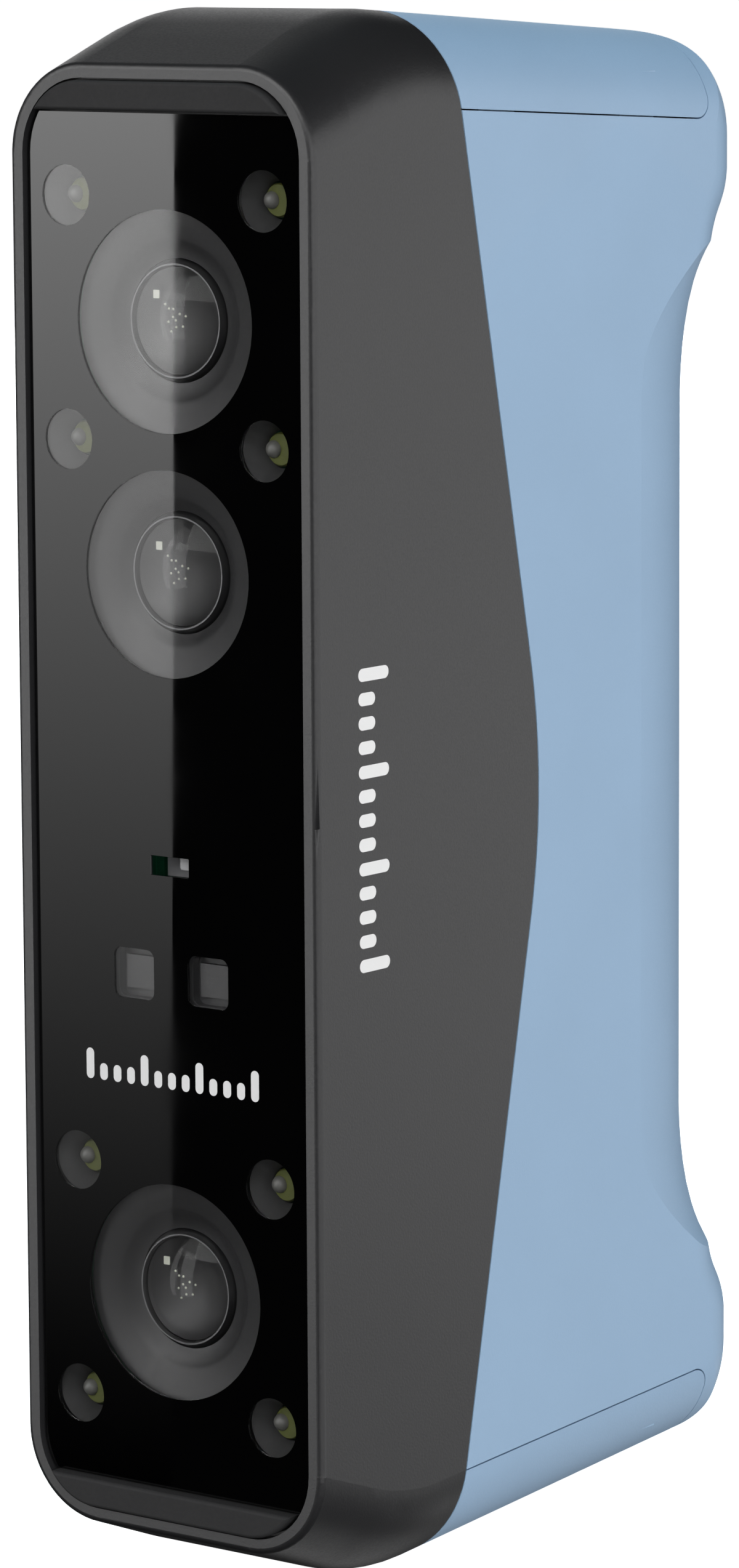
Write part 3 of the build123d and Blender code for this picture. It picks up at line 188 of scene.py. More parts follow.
def ramp(made, factor, low, high, start=0.3, end=0.7):
    """Turns a factor into a colour between two colours."""
    node = made.node_tree.nodes.new("ShaderNodeValToRGB")
    node.color_ramp.elements[0].position = start
    node.color_ramp.elements[0].color = (*low, 1)
    node.color_ramp.elements[1].position = end
    node.color_ramp.elements[1].color = (*high, 1)
    made.node_tree.links.new(factor, node.inputs[0])
    return node.outputs[0]


def spread(made, factor, low, high):
    """Turns a factor of about 0.3 to 0.7 into a number between two numbers."""
    node = made.node_tree.nodes.new("ShaderNodeMapRange")
    node.inputs["From Min"].default_value = 0.3
    node.inputs["From Max"].default_value = 0.7
    node.inputs["To Min"].default_value = low
    node.inputs["To Max"].default_value = high
    made.node_tree.links.new(factor, node.inputs["Value"])
    return node.outputs[0]


def bump(made, factor, height, strength=1.0, below=None):
    """A bump of the given height in metres."""
    node = made.node_tree.nodes.new("ShaderNodeBump")
    node.inputs["Distance"].default_value = height
    node.inputs["Strength"].default_value = strength
    made.node_tree.links.new(factor, node.inputs["Height"])
    if below is not None:
        made.node_tree.links.new(below, node.inputs["Normal"])
    return node.outputs[0]


def scaled(colour, factor):
    return tuple(min(1.0, channel * factor) for channel in colour)


def plastic(name, colour, roughness, grain=0.16 * MM, height=0.012 * MM, vary=0.06):
    """Moulded plastic: an even spark-eroded grain, with faint cloudiness in colour and gloss."""
    made, shader, coordinates = start_material(name)
    clouds = noise(made, coordinates, 14 * MM)
    fine = noise(made, coordinates, grain, 2.0)
    colours = ramp(made, clouds, scaled(colour, 1 - vary), scaled(colour, 1 + vary))
    made.node_tree.links.new(colours, shader.inputs["Base Color"])
    grain_gloss = spread(made, fine, roughness - 0.05, roughness + 0.05)
    made.node_tree.links.new(grain_gloss, shader.inputs["Roughness"])
    made.node_tree.links.new(bump(made, fine, height), shader.inputs["Normal"])
    return made


def rubber(name, colour):
    made = plastic(name, colour, 0.72, 0.25 * MM, 0.02 * MM, 0.1)
    made.node_tree.nodes["Principled BSDF"].inputs["Specular IOR Level"].default_value = 0.15
    return made


def metal(name, colour, roughness, stretch=(1, 1, 14)):
    """Turned or milled metal with fine tool lines."""
    made, shader, coordinates = start_material(name)
    mapping = made.node_tree.nodes.new("ShaderNodeMapping")
    mapping.inputs["Scale"].default_value = stretch
    made.node_tree.links.new(coordinates, mapping.inputs["Vector"])
    lines = noise(made, mapping.outputs[0], 1.2 * MM, 4.0)
    colours = ramp(made, lines, scaled(colour, 0.86), scaled(colour, 1.08))
    made.node_tree.links.new(colours, shader.inputs["Base Color"])
    line_gloss = spread(made, lines, roughness - 0.07, roughness + 0.09)
    made.node_tree.links.new(line_gloss, shader.inputs["Roughness"])
    made.node_tree.links.new(bump(made, lines, 0.006 * MM), shader.inputs["Normal"])
    shader.inputs["Metallic"].default_value = 1.0
    return made


def board(name, colour):
    """Circuit board: solder mask over a faint pattern of tracks."""
    made, shader, coordinates = start_material(name)
    tracks = made.node_tree.nodes.new("ShaderNodeTexBrick")
    tracks.inputs["Scale"].default_value = 400
    tracks.inputs["Color1"].default_value = (*scaled(colour, 1.0), 1)
    tracks.inputs["Color2"].default_value = (*scaled(colour, 1.35), 1)
    tracks.inputs["Mortar"].default_value = (*scaled(colour, 1.9), 1)
    tracks.inputs["Mortar Size"].default_value = 0.03
    made.node_tree.links.new(coordinates, tracks.inputs["Vector"])
    made.node_tree.links.new(tracks.outputs["Color"], shader.inputs["Base Color"])
    made.node_tree.links.new(bump(made, tracks.outputs["Fac"], 0.02 * MM), shader.inputs["Normal"])
    made.node_tree.links.new(
        spread(made, noise(made, coordinates, 4 * MM), 0.25, 0.4), shader.inputs["Roughness"]
    )
    return made


def clear_glass(name, index, tint, roughness=0.0):
    """Thin clear glass: a faint mirror that grows towards grazing angles, and clear through the rest."""
    made, shader, coordinates = start_material(name)
    fresnel = made.node_tree.nodes.new("ShaderNodeFresnel")
    fresnel.inputs["IOR"].default_value = index
    made.node_tree.links.new(fresnel.outputs[0], shader.inputs["Alpha"])
    smudges = noise(made, coordinates, 9 * MM, 5.0)
    made.node_tree.links.new(spread(made, smudges, roughness, roughness + 0.03), shader.inputs["Roughness"])
    made.node_tree.links.new(ramp(made, smudges, scaled(tint, 0.96), tint), shader.inputs["Base Color"])
    shader.inputs["Metallic"].default_value = 1.0
    return made


def gloss(name, colour, roughness, index=1.5):
    """Smooth glossy surface with faint smudges in its gloss."""
    made, shader, coordinates = start_material(name)
    smudges = noise(made, coordinates, 11 * MM, 6.0)
    made.node_tree.links.new(spread(made, smudges, roughness, roughness + 0.03), shader.inputs["Roughness"])
    made.node_tree.links.new(
        ramp(made, smudges, colour, scaled(colour, 1.25)), shader.inputs["Base Color"]
    )
    shader.inputs["IOR"].default_value = index
    return made


def solid_glass(name, tint):
    """A thick lens that bends light."""
    made, shader, coordinates = start_material(name)
    film = noise(made, coordinates, 5 * MM, 2.0)
    made.node_tree.links.new(ramp(made, film, scaled(tint, 0.94), tint), shader.inputs["Base Color"])
    made.node_tree.links.new(spread(made, film, 0.0, 0.012), shader.inputs["Roughness"])
    shader.inputs["Transmission Weight"].default_value = 1.0
    shader.inputs["IOR"].default_value = 1.52
    return made


DARK = (0.0135, 0.0135, 0.0145)
BLUE = (0.292, 0.44, 0.622)
SLOT_MATERIALS = {
    "dark_plastic": plastic("dark_plastic", DARK, 0.38),
    "blue_plastic": plastic("blue_plastic", BLUE, 0.52, vary=0.025),
    "blue_cover": plastic("blue_cover", scaled(BLUE, 0.985), 0.52, vary=0.025),
    "front_glass": clear_glass("front_glass", 1.5, (1.0, 1.0, 1.0)),
    "black_print": gloss("black_print", (0.0004, 0.0004, 0.0005), 0.0),
    "adhesive": rubber("adhesive", (0.012, 0.012, 0.012)),
    "pad_rubber": rubber("pad_rubber", (0.028, 0.028, 0.029)),
    "bench_metal": metal("bench_metal", (0.62, 0.63, 0.65), 0.35),
    "baffle_plastic": plastic("baffle_plastic", (0.02, 0.02, 0.021), 0.45, 0.3 * MM, 0.004 * MM),
    "barrel_metal": metal("barrel_metal", (0.11, 0.11, 0.113), 0.42, (1, 20, 1)),
    "lens_glass": solid_glass("lens_glass", (0.9, 0.97, 0.94)),
    "housing_metal": metal("housing_metal", (0.06, 0.06, 0.065), 0.4),
    "circuit_board": board("circuit_board", (0.01, 0.09, 0.045)),
    "screw_steel": metal("screw_steel", (0.6, 0.6, 0.61), 0.3, (1, 20, 1)),
    "flex_cable": plastic("flex_cable", (0.5, 0.25, 0.05), 0.35, 1.0 * MM, 0.01 * MM),
    "reflector_plastic": plastic("reflector_plastic", (0.055, 0.055, 0.056), 0.4, 0.3 * MM, 0.004 * MM),
    "emitter": gloss("emitter", (0.75, 0.75, 0.7), 0.1),
    "projector_plastic": plastic("projector_plastic", (0.05, 0.05, 0.052), 0.5),
    "sensor_plastic": plastic("sensor_plastic", (0.3, 0.3, 0.31), 0.4),
    "spacer_nylon": plastic("spacer_nylon", (0.6, 0.59, 0.55), 0.5),
    "spacer_brass": metal("spacer_brass", (0.7, 0.52, 0.22), 0.3, (1, 20, 1)),
    "thermal_rubber": rubber("thermal_rubber", (0.3, 0.36, 0.46)),
    "sink_metal": metal("sink_metal", (0.1, 0.1, 0.11), 0.4),
    "shield_steel": metal("shield_steel", (0.66, 0.66, 0.67), 0.28),
    "buzzer_plastic": plastic("buzzer_plastic", (0.03, 0.03, 0.03), 0.5),
    "cell_wrap": gloss("cell_wrap", (0.03, 0.2, 0.24), 0.2),
    "tray_plastic": plastic("tray_plastic", (0.03, 0.03, 0.032), 0.55),
    "panel_plastic": plastic("panel_plastic", (0.03, 0.03, 0.032), 0.34, 0.12 * MM, 0.006 * MM),
    "button_rubber": rubber("button_rubber", (0.11, 0.115, 0.125)),
    "scan_rubber": rubber("scan_rubber", (0.3, 0.42, 0.6)),
    "light_pipe": gloss("light_pipe", (0.6, 0.68, 0.64), 0.25),
    "switch_metal": metal("switch_metal", (0.6, 0.6, 0.6), 0.35),
    "insert_brass": metal("insert_brass", (0.74, 0.57, 0.27), 0.26, (20, 1, 1)),
}


LENS_DOME = clear_glass("lens_dome", 1.22, (1.0, 1.0, 1.0))
LENS_BOWL = gloss("lens_bowl", (0.034, 0.034, 0.035), 0.45)
# Pale material for the painted reflections behind each lens dome: the specks and the square glint.
PAINTED_LENS_GLINT = gloss("painted_lens_glint", (0.85, 0.9, 0.72), 0.2)
PHOSPHOR = plastic("phosphor", (0.085, 0.1, 0.004), 0.7, 0.3 * MM, 0.004 * MM)
# Pale dome on each light: partly the lens, partly a painted highlight standing in for the shine on that lens.
LIGHT_DOME_HIGHLIGHT = plastic("light_dome_highlight", (0.15, 0.15, 0.14), 0.4, 0.3 * MM, 0.004 * MM)
WHITE_INK = plastic("white_ink", (0.86, 0.86, 0.86), 0.5, 0.3 * MM, 0.002 * MM, 0.01)


def paint(piece, made):
    piece.data.materials.clear()
    piece.data.materials.append(made)


def finish_cad_nodes():
    """Gives every carried-over CAD node the procedural material of its slot."""
    for row in frame["record"]["subparts"]:
        paint(frame["nodes"][row["node"]], SLOT_MATERIALS[row["material_slot"]])


# ---------------------------------------------------------------- mesh tools


def add_piece(name, mesh, made, body=ROOT, replaces=()):
    """Adds a mesh to the scene as a visible piece that rides on a body."""
    piece = bpy.data.objects.new(name, mesh)
    bpy.context.scene.collection.objects.link(piece)
    paint(piece, made)
    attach(piece, body)
    if replaces:
        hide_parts(*replaces)
    return piece


def spin(shape, profile, centre, segments):
    """Adds a closed shape of revolution about a front-to-back axis. The profile lists (radius, depth)."""
    rings = []
    for radius, depth in profile:
        y = at_depth(depth)
        if radius == 0:
            rings.append([shape.verts.new((centre[0], y, centre[1]))])
            continue
        ring = []
        for step in range(segments):
            angle = 2 * math.pi * step / segments
            x = centre[0] + radius * math.cos(angle)
            z = centre[1] + radius * math.sin(angle)
            ring.append(shape.verts.new((x, y, z)))
        rings.append(ring)
    for here, there in zip(rings, rings[1:] + rings[:1]):
        if len(here) == 1 and len(there) == 1:
            continue
        for step in range(segments):
            after = (step + 1) % segments
            corners = [
                here[step % len(here)],
                here[after % len(here)],
                there[after % len(there)],
                there[step % len(there)],
            ]
            shape.faces.new(list(dict.fromkeys(corners)))


def lathe(name, profile, centres, segments=96):
    """One mesh of equal shapes of revolution, one about each centre."""
    shape = bmesh.new()
    for centre in centres:
        spin(shape, profile, centre, segments)
    bmesh.ops.recalc_face_normals(shape, faces=shape.faces)
    mesh = bpy.data.meshes.new(name)
    shape.to_mesh(mesh)
    shape.free()
    for face in mesh.polygons:
        face.use_smooth = True
    mesh.set_sharp_from_angle(angle=SHARP_ANGLE)
    return mesh


def circle_points(centre, radius, count=96):
    angles = [2 * math.pi * step / count for step in range(count)]
    return [(centre[0] + radius * math.cos(a), centre[1] + radius * math.sin(a)) for a in angles]


def rounded_points(centre, half_width, half_height, radius, limit=None, steps=14):
    """A rounded rectangle, cut off above and below a height if a limit is given."""
    straight = half_height - radius
    sweep = math.pi / 2 if limit is None else math.asin((limit - straight) / radius)
    quarter = []
    for step in range(steps + 1):
        angle = sweep * step / steps
        quarter.append((half_width - radius + radius * math.cos(angle), straight + radius * math.sin(angle)))
    turn = [(-x, z) for x, z in reversed(quarter)]
    upper = quarter + turn
    lower = [(-x, -z) for x, z in upper]
    return [(centre[0] + x, centre[1] + z) for x, z in upper + lower]


def cap(radius, apex, rise, steps=12):
    """The profile of a spherical cap, from its apex out to its edge. A negative rise makes it hollow."""
    sphere = (radius**2 + rise**2) / (2 * abs(rise))
    radii = [radius * step / steps for step in range(steps + 1)]
    drops = [sphere - math.sqrt(sphere**2 - out**2) for out in radii]
    return [(out, apex + math.copysign(drop, rise)) for out, drop in zip(radii, drops)]


def flat_mesh(name, outlines, thickness):
    """A plate in the XY plane from closed outlines. An outline inside another is a hole."""
    curve = bpy.data.curves.new(name + "_outline", "CURVE")
    curve.dimensions = "2D"
    curve.fill_mode = "BOTH"
    curve.extrude = thickness / 2
    for outline in outlines:
        line = curve.splines.new("POLY")
        line.points.add(len(outline) - 1)
        for point, (x, z) in zip(line.points, outline):
            point.co = (x, z, 0, 1)
        line.use_cyclic_u = True
    holder = bpy.data.objects.new(name + "_holder", curve)
    bpy.context.scene.collection.objects.link(holder)
    bpy.context.view_layer.update()
    mesh = bpy.data.meshes.new_from_object(holder.evaluated_get(bpy.context.evaluated_depsgraph_get()))
    bpy.data.objects.remove(holder)
    shape = bmesh.new()
    shape.from_mesh(mesh)
    bmesh.ops.remove_doubles(shape, verts=shape.verts, dist=1e-7)
    bmesh.ops.recalc_face_normals(shape, faces=shape.faces)
    shape.to_mesh(mesh)
    shape.free()
    mesh.materials.clear()
    return mesh


def slab(name, outlines, depth, thickness):
    """A flat plate facing the front, from outlines that list (x, z)."""
    mesh = flat_mesh(name, outlines, thickness)
    mesh.transform(Matrix.Rotation(math.pi / 2, 4, "X"))
    mesh.transform(Matrix.Translation((0, at_depth(depth + thickness / 2), 0)))
    return mesh


def side_slab(name, outlines, x, thickness):
    """A flat plate facing the right side, from outlines that list (depth, z)."""
    mesh = flat_mesh(name, outlines, thickness)
    mesh.transform(Matrix(((0, 0, 1, x - thickness / 2), (1, 0, 0, at_depth(0)), (0, 1, 0, 0), (0, 0, 0, 1))))
    return mesh


# ---------------------------------------------------------------- front glass


def camera_window(which):
    """Centre and window radius of a camera, from its baffle."""
    low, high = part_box(which + "_camera_baffle")
    centre = ((low.x + high.x) / 2, (low.z + high.z) / 2)
    return centre, (high.x - low.x) / 2 - WINDOW_INSET


def build_front_glass():
    """The black printed glass with clear windows let into the print."""
    outline = rounded_points((0, 0), GLASS_HIGH.x, PRINT_HALF_HEIGHT, PRINT_CORNER, GLASS_HIGH.z)
    holes = [circle_points((x, z), LIGHT_RADIUS, 48) for x, z in LIGHT_POINTS]
    holes += [circle_points(*camera_window(which)) for which in CAMERAS]
    half_size = PROJECTOR_SIZE / 2
    squares = [
        rounded_points((side * PROJECTOR_X, PROJECTOR_Z), half_size, half_size, PROJECTOR_CORNER)
        for side in (-1, 1)
    ]
    slot = rounded_points((0, SENSOR_Z), SENSOR_SIZE[0] / 2, SENSOR_SIZE[1] / 2, SENSOR_CORNER)
    name = "printed_glass"
    plate = slab(name, [outline, *holes, *squares, slot], PRINT_DEPTH, PRINT_THICKNESS)
    replaced = ("front_glass", "window_mask")
    add_piece(name, plate, SLOT_MATERIALS["black_print"], ROOT, replaced)
    window_glass = clear_glass("window_glass", 1.3, (1.0, 1.0, 1.0))
    for number, hole in enumerate(holes + squares):
        name = f"clear_window_{number + 1}"
        pane = slab(name, [hole], PRINT_DEPTH + PANE_SINK, PANE_THICKNESS)
        add_piece(name, pane, window_glass)


# ---------------------------------------------------------------- behind the glass


def build_camera_optics(which):
    """The shallow funnel, lens barrel, domed lens and inner bowl of one camera, and painted highlights behind
    the dome: pale specks and one square glint that stand in for lamps mirrored in the lens.
    """
    centre, radius = camera_window(which)
    step = radius - FUNNEL_WIDTH
    inner = BARREL_RADIUS + FUNNEL_FIT
    funnel = (
        (radius + CUP_LIP, CUP_MOUTH),
        (step + 0.6 * MM, 2.85 * MM),
        (step, 3.1 * MM),
        (step - 0.6 * MM, 3.5 * MM),
        (inner, 3.9 * MM),
        (inner, 4.5 * MM),
        (step, 4.3 * MM),
        (radius + CUP_LIP, 2.6 * MM),
    )
    barrel = (
        (LENS_RADIUS + 0.05 * MM, 3.3 * MM),
        (LENS_RADIUS + 0.2 * MM, 3.05 * MM),
        (LENS_RADIUS + 0.4 * MM, 3.05 * MM),
        (LENS_RADIUS + 0.55 * MM, 3.4 * MM),
        (BARREL_RADIUS, 4.2 * MM),
        (BARREL_RADIUS, BARREL_BACK),
        (BARREL_BACK_RADIUS, BARREL_BACK),
        (LENS_RADIUS + 0.05 * MM, 12.0 * MM),
    )
    dome = cap(LENS_RADIUS, LENS_APEX, LENS_RISE) + [(LENS_RADIUS, DOME_BACK), (0, DOME_BACK)]
    bowl = cap(BOWL_RADIUS, BOWL_APEX, -LENS_RISE) + [(BOWL_RADIUS, BOWL_BACK), (0, BOWL_BACK)]
    pieces = (
        ("funnel", funnel, SLOT_MATERIALS["baffle_plastic"], "baffle_plastic", "camera_baffle"),
        ("barrel_ring", barrel, SLOT_MATERIALS["barrel_metal"], "barrel_metal", "lens_barrel"),
        ("dome", dome, LENS_DOME, "lens_glass", "lens"),
    )
    for part, profile, made, slot, node in pieces:
        name = f"{which}_{part}"
        add_piece(name, lathe(name, profile, [centre]), made, ROOT, (f"{which}_{node}",))
    name = f"{which}_bowl"
    add_piece(name, lathe(name, bowl, [centre]), LENS_BOWL)
    # Painted reflections: a spiral of pale specks near the lens centre, and a short trail of specks towards
    # the square glint.
    spots = []
    for count in range(GLINT_SPECK_COUNT):
        out = GLINT_SPECK_SPACING * math.sqrt(count)
        turn = GLINT_SPECK_TURN * count
        spots.append((centre[0] - GLINT_SPECK_SHIFT + out * math.cos(turn), centre[1] + out * math.sin(turn)))
    for share in GLINT_TRAIL:
        spots.append((centre[0] + share * GLINT_X, centre[1] + share * GLINT_Z))
    glint_speck = cap(GLINT_SPECK_RADIUS, GLINT_SPECK_DEPTH, GLINT_SPECK_RADIUS * 0.9, 4) + [(0, GLINT_SPECK_DEPTH + GLINT_SPECK_RADIUS)]
    name = f"{which}_glint_specks"
    add_piece(name, lathe(name, glint_speck, spots, 12), PAINTED_LENS_GLINT)
    # Painted highlight: a flat pale square behind the dome stands in for a softbox mirrored in the lens.
    name = f"{which}_glint"
    patch = rounded_points((centre[0] + GLINT_X, centre[1] + GLINT_Z), *GLINT_HALF_SIZE, GLINT_CORNER)
    add_piece(name, slab(name, [patch], GLINT_SPECK_DEPTH, GLINT_SPECK_RADIUS), PAINTED_LENS_GLINT)


def build_ring_lights():
    """The cup and the phosphor of each of the eight lights, and a small pale dome left of each chip. The dome
    is partly the light's real lens and partly a painted highlight: its pale colour and its place stand in for
    the shine on that lens.
    """
    rim = LIGHT_RADIUS + CUP_LIP
    cup = (
        (rim, CUP_MOUTH),
        (3.3 * MM, 3.2 * MM),
        (2.5 * MM, 4.6 * MM),
        (2.5 * MM, CUP_BACK),
        (rim, CUP_BACK),
    )
    phosphor = (
        (0, CHIP_FACE),
        (2.0 * MM, CHIP_FACE),
        (CHIP_RADIUS, 4.4 * MM),
        (CHIP_RADIUS, CHIP_BACK),
        (0, CHIP_BACK),
    )
    dome = cap(LIGHT_DOME_RADIUS, 3.1 * MM, 0.9 * MM, 8)
    dome += [(LIGHT_DOME_RADIUS, LIGHT_DOME_BACK), (0, LIGHT_DOME_BACK)]
    pieces = (
        ("light_cups", cup, SLOT_MATERIALS["reflector_plastic"], "reflector_plastic", ("light_reflectors",)),
        ("light_phosphor", phosphor, PHOSPHOR, "emitter", ("light_emitters",)),
    )
    for name, profile, made, slot, nodes in pieces:
        add_piece(name, lathe(name, profile, LIGHT_POINTS, 48), made, ROOT, nodes)
    # Painted highlight: the pale domes are set to the left of each chip, where the lens's highlight falls.
    spots = [(x - LIGHT_DOME_HIGHLIGHT_SHIFT, z) for x, z in LIGHT_POINTS]
    add_piece("light_highlight_domes", lathe("light_highlight_domes", dome, spots, 24), LIGHT_DOME_HIGHLIGHT)


# ---------------------------------------------------------------- marks and button icons


def bar_outline(centre, width, height):
    return rounded_points(centre, width / 2, height / 2, min(width, height) * 0.49, steps=6)


def scale_marks(length, height, thickness):
    """A plain row of long and short bars, each as (along, across, width, height)."""
    pitch = length / MARK_COUNT
    rows = []
    for step in range(MARK_COUNT):
        is_long = step % MARK_LONG_EVERY == 0
        along = -length / 2 + pitch * (step + 0.5)
        size = height if is_long else height * MARK_SHORT_SHARE
        rows.append((along, (size - height) / 2, thickness, size))
    return rows


def build_marks():
    """Plain scale marks on the glass and on the right side."""
    front = [
        bar_outline((along, MARK_FRONT_Z + across), width, height)
        for along, across, width, height in scale_marks(*FRONT_MARK_SIZE)
    ]
    name = "front_scale_mark"
    depth = PRINT_DEPTH - MARK_THICKNESS
    add_piece(name, slab(name, front, depth, MARK_THICKNESS), WHITE_INK)
    side = [
        bar_outline((MARK_SIDE_DEPTH + across, along), height, width)
        for along, across, width, height in scale_marks(*SIDE_MARK_SIZE)
    ]
    name = "side_scale_mark"
    proud = cad_high.x + MARK_THICKNESS / 2
    add_piece(name, side_slab(name, side, proud, MARK_THICKNESS), WHITE_INK)


def cross_outline(centre, reach, half):
    """A plus sign."""
    arm = [(half, half), (half, reach), (-half, reach)]
    points = []
    for turn in range(4):
        points += arm
        arm = [(-z, x) for x, z in arm]
    return [(centre[0] + x, centre[1] + z) for x, z in points]


def icon_outlines(node, centre):
    """A plus, a minus, a ring with a dot, or a plain ring."""
    if node == "up_button":
        return [cross_outline(centre, PLUS_REACH, ICON_STROKE / 2)]
    if node == "down_button":
        return [bar_outline(centre, 2 * PLUS_REACH, ICON_STROKE)]
    if node == "scan_button":
        rings = [circle_points(centre, radius, 64) for radius in SCAN_RING_RADII]
        return rings + [circle_points(centre, SCAN_DOT_RADIUS, 32)]
    return [circle_points(centre, radius, 48) for radius in POWER_RING_RADII]


def build_icons():
    """Small plain symbols on the four buttons."""
    for node in ("up_button", "down_button", "scan_button", "power_button"):
        low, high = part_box(node)
        outlines = icon_outlines(node, ((low.x + high.x) / 2, (low.z + high.z) / 2))
        depth = high.y - RIM_Y - ICON_SINK - ICON_THICKNESS
        name = node + "_icon"
        add_piece(name, slab(name, outlines, depth, ICON_THICKNESS), WHITE_INK, node)


# ---------------------------------------------------------------- stage


def area_light(name, place, size, radiance, colour=(1, 1, 1), diffuse=True, glossy=True):
    """A softbox that faces the scanner. Its power follows from how bright its surface is."""
    lamp = bpy.data.lights.new(name, "AREA")
    lamp.shape = "RECTANGLE"
    lamp.size, lamp.size_y = size
    lamp.energy = radiance * math.pi * size[0] * size[1]
    lamp.color = colour
    holder = bpy.data.objects.new(name, lamp)
    bpy.context.scene.collection.objects.link(holder)
    holder.location = place
    holder.rotation_mode = "QUATERNION"
    holder.rotation_quaternion = (-Vector(place)).to_track_quat("-Z", "Y")
    holder.visible_diffuse = diffuse
    holder.visible_glossy = glossy
    return holder


def build_world():
    """White to the camera, and nearly dark to everything else, so that the softboxes shape the object."""
    world = bpy.data.worlds.new("studio")
    bpy.context.scene.world = world
    world.use_nodes = True
    nodes, links = world.node_tree.nodes, world.node_tree.links
    nodes.clear()
    output = nodes.new("ShaderNodeOutputWorld")
    mix = nodes.new("ShaderNodeMixShader")
    path = nodes.new("ShaderNodeLightPath")
    soft = nodes.new("ShaderNodeBackground")
    seen = nodes.new("ShaderNodeBackground")
    soft.inputs["Color"].default_value = (1, 1, 1, 1)
    soft.inputs["Strength"].default_value = WORLD_LIGHT
    seen.inputs["Color"].default_value = (1, 1, 1, 1)
    seen.inputs["Strength"].default_value = 1.0
    links.new(path.outputs["Is Camera Ray"], mix.inputs[0])
    links.new(soft.outputs[0], mix.inputs[1])
    links.new(seen.outputs[0], mix.inputs[2])
    links.new(mix.outputs[0], output.inputs[0])


def build_floor():
    """A pale floor, bright enough to run into the white background."""
    shape = bmesh.new()
    bmesh.ops.create_grid(shape, x_segments=8, y_segments=8, size=12.0)
    mesh = bpy.data.meshes.new("floor")
    shape.to_mesh(mesh)
    shape.free()
    floor = bpy.data.objects.new("floor", mesh)
    floor.location.z = cad_low.z
    floor.visible_glossy = False
    floor.visible_diffuse = False
    floor.visible_shadow = False
    bpy.context.scene.collection.objects.link(floor)
    made, shader, coordinates = start_material("floor_paper")
    paper = noise(made, coordinates, 40 * MM)
    colours = ramp(made, paper, (0.9, 0.9, 0.9), (0.93, 0.93, 0.93))
    made.node_tree.links.new(colours, shader.inputs["Base Color"])
    shader.inputs["Roughness"].default_value = 0.8
    shader.inputs["Emission Color"].default_value = (1, 1, 1, 1)
    shader.inputs["Emission Strength"].default_value = FLOOR_GLOW
    paint(floor, made)


def build_reflection_card(eye):
    """A softbox seen only in the glass: bright at its top, dark at its foot, with a clean upright edge."""
    front = at_depth(PRINT_DEPTH)
    mirrored_eye = Vector((eye.x, 2 * front - eye.y, eye.z))
    seen_at = (
        (CARD_OUTER_X, CARD_TOP),
        (CARD_EDGE_TOP_X, CARD_TOP),
        (CARD_EDGE_FOOT_X, CARD_FOOT),
        (CARD_OUTER_X, CARD_FOOT),
    )
    card_y = front - CARD_DISTANCE
    shape = bmesh.new()
    corners = []
    for x, z in seen_at:
        ray = Vector((x, front, z)) - mirrored_eye
        corners.append(shape.verts.new(mirrored_eye + ray * ((card_y - mirrored_eye.y) / ray.y)))
    shape.faces.new(corners)
    low = min(corner.co.z for corner in corners)
    high = max(corner.co.z for corner in corners)
    mesh = bpy.data.meshes.new("reflection_card")
    shape.to_mesh(mesh)
    shape.free()
    card = bpy.data.objects.new("reflection_card", mesh)
    bpy.context.scene.collection.objects.link(card)
    made = bpy.data.materials.new("reflection_card")
    made.use_nodes = True
    nodes, links = made.node_tree.nodes, made.node_tree.links
    nodes.clear()
    coordinates = nodes.new("ShaderNodeTexCoord")
    split = nodes.new("ShaderNodeSeparateXYZ")
    share = nodes.new("ShaderNodeMapRange")
    share.inputs["From Min"].default_value = low
    share.inputs["From Max"].default_value = high
    falloff = nodes.new("ShaderNodeMath")
    falloff.operation = "POWER"
    falloff.inputs[1].default_value = CARD_FALLOFF
    strength = nodes.new("ShaderNodeMath")
    strength.operation = "MULTIPLY"
    strength.inputs[1].default_value = CARD_RADIANCE
    glow = nodes.new("ShaderNodeEmission")
    output = nodes.new("ShaderNodeOutputMaterial")
    links.new(coordinates.outputs["Object"], split.inputs[0])
    links.new(split.outputs["Z"], share.inputs["Value"])
    links.new(share.outputs[0], falloff.inputs[0])
    links.new(falloff.outputs[0], strength.inputs[0])
    links.new(strength.outputs[0], glow.inputs["Strength"])
    links.new(glow.outputs[0], output.inputs[0])
    paint(card, made)
    card.visible_camera = False
    card.visible_diffuse = False
    card.visible_shadow = False
    card.visible_transmission = False


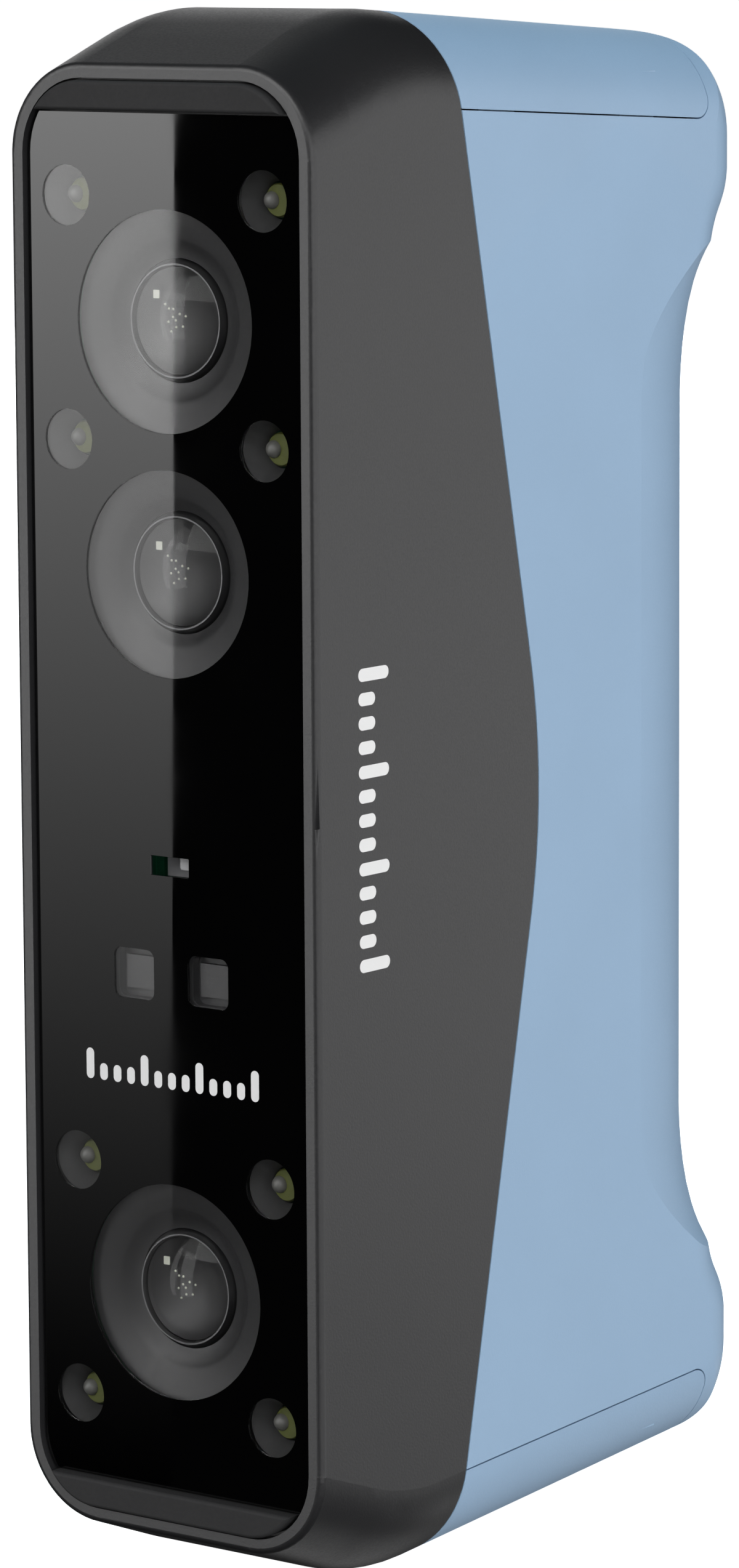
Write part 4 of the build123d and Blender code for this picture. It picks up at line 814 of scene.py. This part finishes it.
def build_camera():
    """The camera stands to the front right, a little above the middle, as a long lens."""
    level = math.cos(CAMERA_ELEVATION)
    back = Vector(
        (
            math.sin(CAMERA_AZIMUTH) * level,
            -math.cos(CAMERA_AZIMUTH) * level,
            math.sin(CAMERA_ELEVATION),
        )
    )
    right = (-back).cross(Vector((0, 0, 1))).normalized()
    up = right.cross(-back)
    right_rolled = math.cos(CAMERA_ROLL) * right + math.sin(CAMERA_ROLL) * up
    up_rolled = -math.sin(CAMERA_ROLL) * right + math.cos(CAMERA_ROLL) * up
    lens = bpy.data.cameras.new("camera")
    lens.sensor_width = 36
    lens.lens = CAMERA_LENS
    lens.shift_x, lens.shift_y = CAMERA_SHIFT
    lens.clip_start = 0.01
    lens.clip_end = 20
    camera = bpy.data.objects.new("camera", lens)
    bpy.context.scene.collection.objects.link(camera)
    turn = Matrix((right_rolled, up_rolled, back)).transposed()
    camera.matrix_world = Matrix.Translation(CAMERA_TARGET + back * CAMERA_DISTANCE) @ turn.to_4x4()
    bpy.context.scene.camera = camera


def build_stage():
    """White surroundings and softboxes. Most softboxes shape either the shading or the gloss alone."""
    bpy.context.scene.view_settings.view_transform = "Standard"
    build_world()
    build_floor()
    area_light("side_light", (1.65, -1.0, 0.35), (2.0, 1.8), 3.6, glossy=False)
    area_light("side_sheen", (1.2, 1.55, 0.05), (1.6, 1.3), 1.4, diffuse=False)
    area_light("top_light", (-0.4, 0.5, 1.95), (1.4, 1.4), 2.7, (0.74, 0.95, 1.0), glossy=False)
    area_light("front_light", (-0.1, -1.7, 1.0), (1.2, 0.8), 4.5)
    area_light("left_sheen", (-1.61, -1.43, 0.1), (0.6, 1.6), 3.8, diffuse=False)
    area_light("front_sheen", (-0.96, -1.93, 0.1), (0.6, 1.6), 3.8, diffuse=False)
    area_light("upper_sheen", (-1.3, -1.45, 1.0), (1.5, 0.8), 2.4, diffuse=False)
    area_light("slope_sheen", (-1.2, 0.96, 1.28), (1.3, 1.3), 0.2, diffuse=False)
    area_light("near_sheen", (1.4, -1.5, 0.2), (1.4, 1.4), 2.1, diffuse=False)
    area_light("right_sheen", (2.0, 0.05, 0.1), (2.4, 1.4), 2.0, diffuse=False)
    area_light("floor_sheen", (-0.25, 1.1, -1.55), (1.2, 0.8), 0.5, diffuse=False)
    area_light("cover_sheen", (0.15, 1.8, -0.85), (0.7, 0.6), 2.0, diffuse=False)
    area_light("left_back_light", (-1.5, 1.6, 0.45), (1.2, 1.0), 0.9)
    area_light("back_light", (-1.0, 1.9, 0.4), (1.1, 1.4), 3.6, glossy=False)
    area_light("left_light", (-2.0, 0.3, 0.3), (1.4, 1.4), 2.0, glossy=False)
    area_light("floor_bounce", (1.2, 0.9, -1.3), (2.0, 2.0), 1.0, glossy=False)
    build_reflection_card(bpy.context.scene.camera.matrix_world.translation)


finish_cad_nodes()
build_front_glass()
for which in CAMERAS:
    build_camera_optics(which)
build_ring_lights()
build_marks()
build_icons()
build_camera()
build_stage()
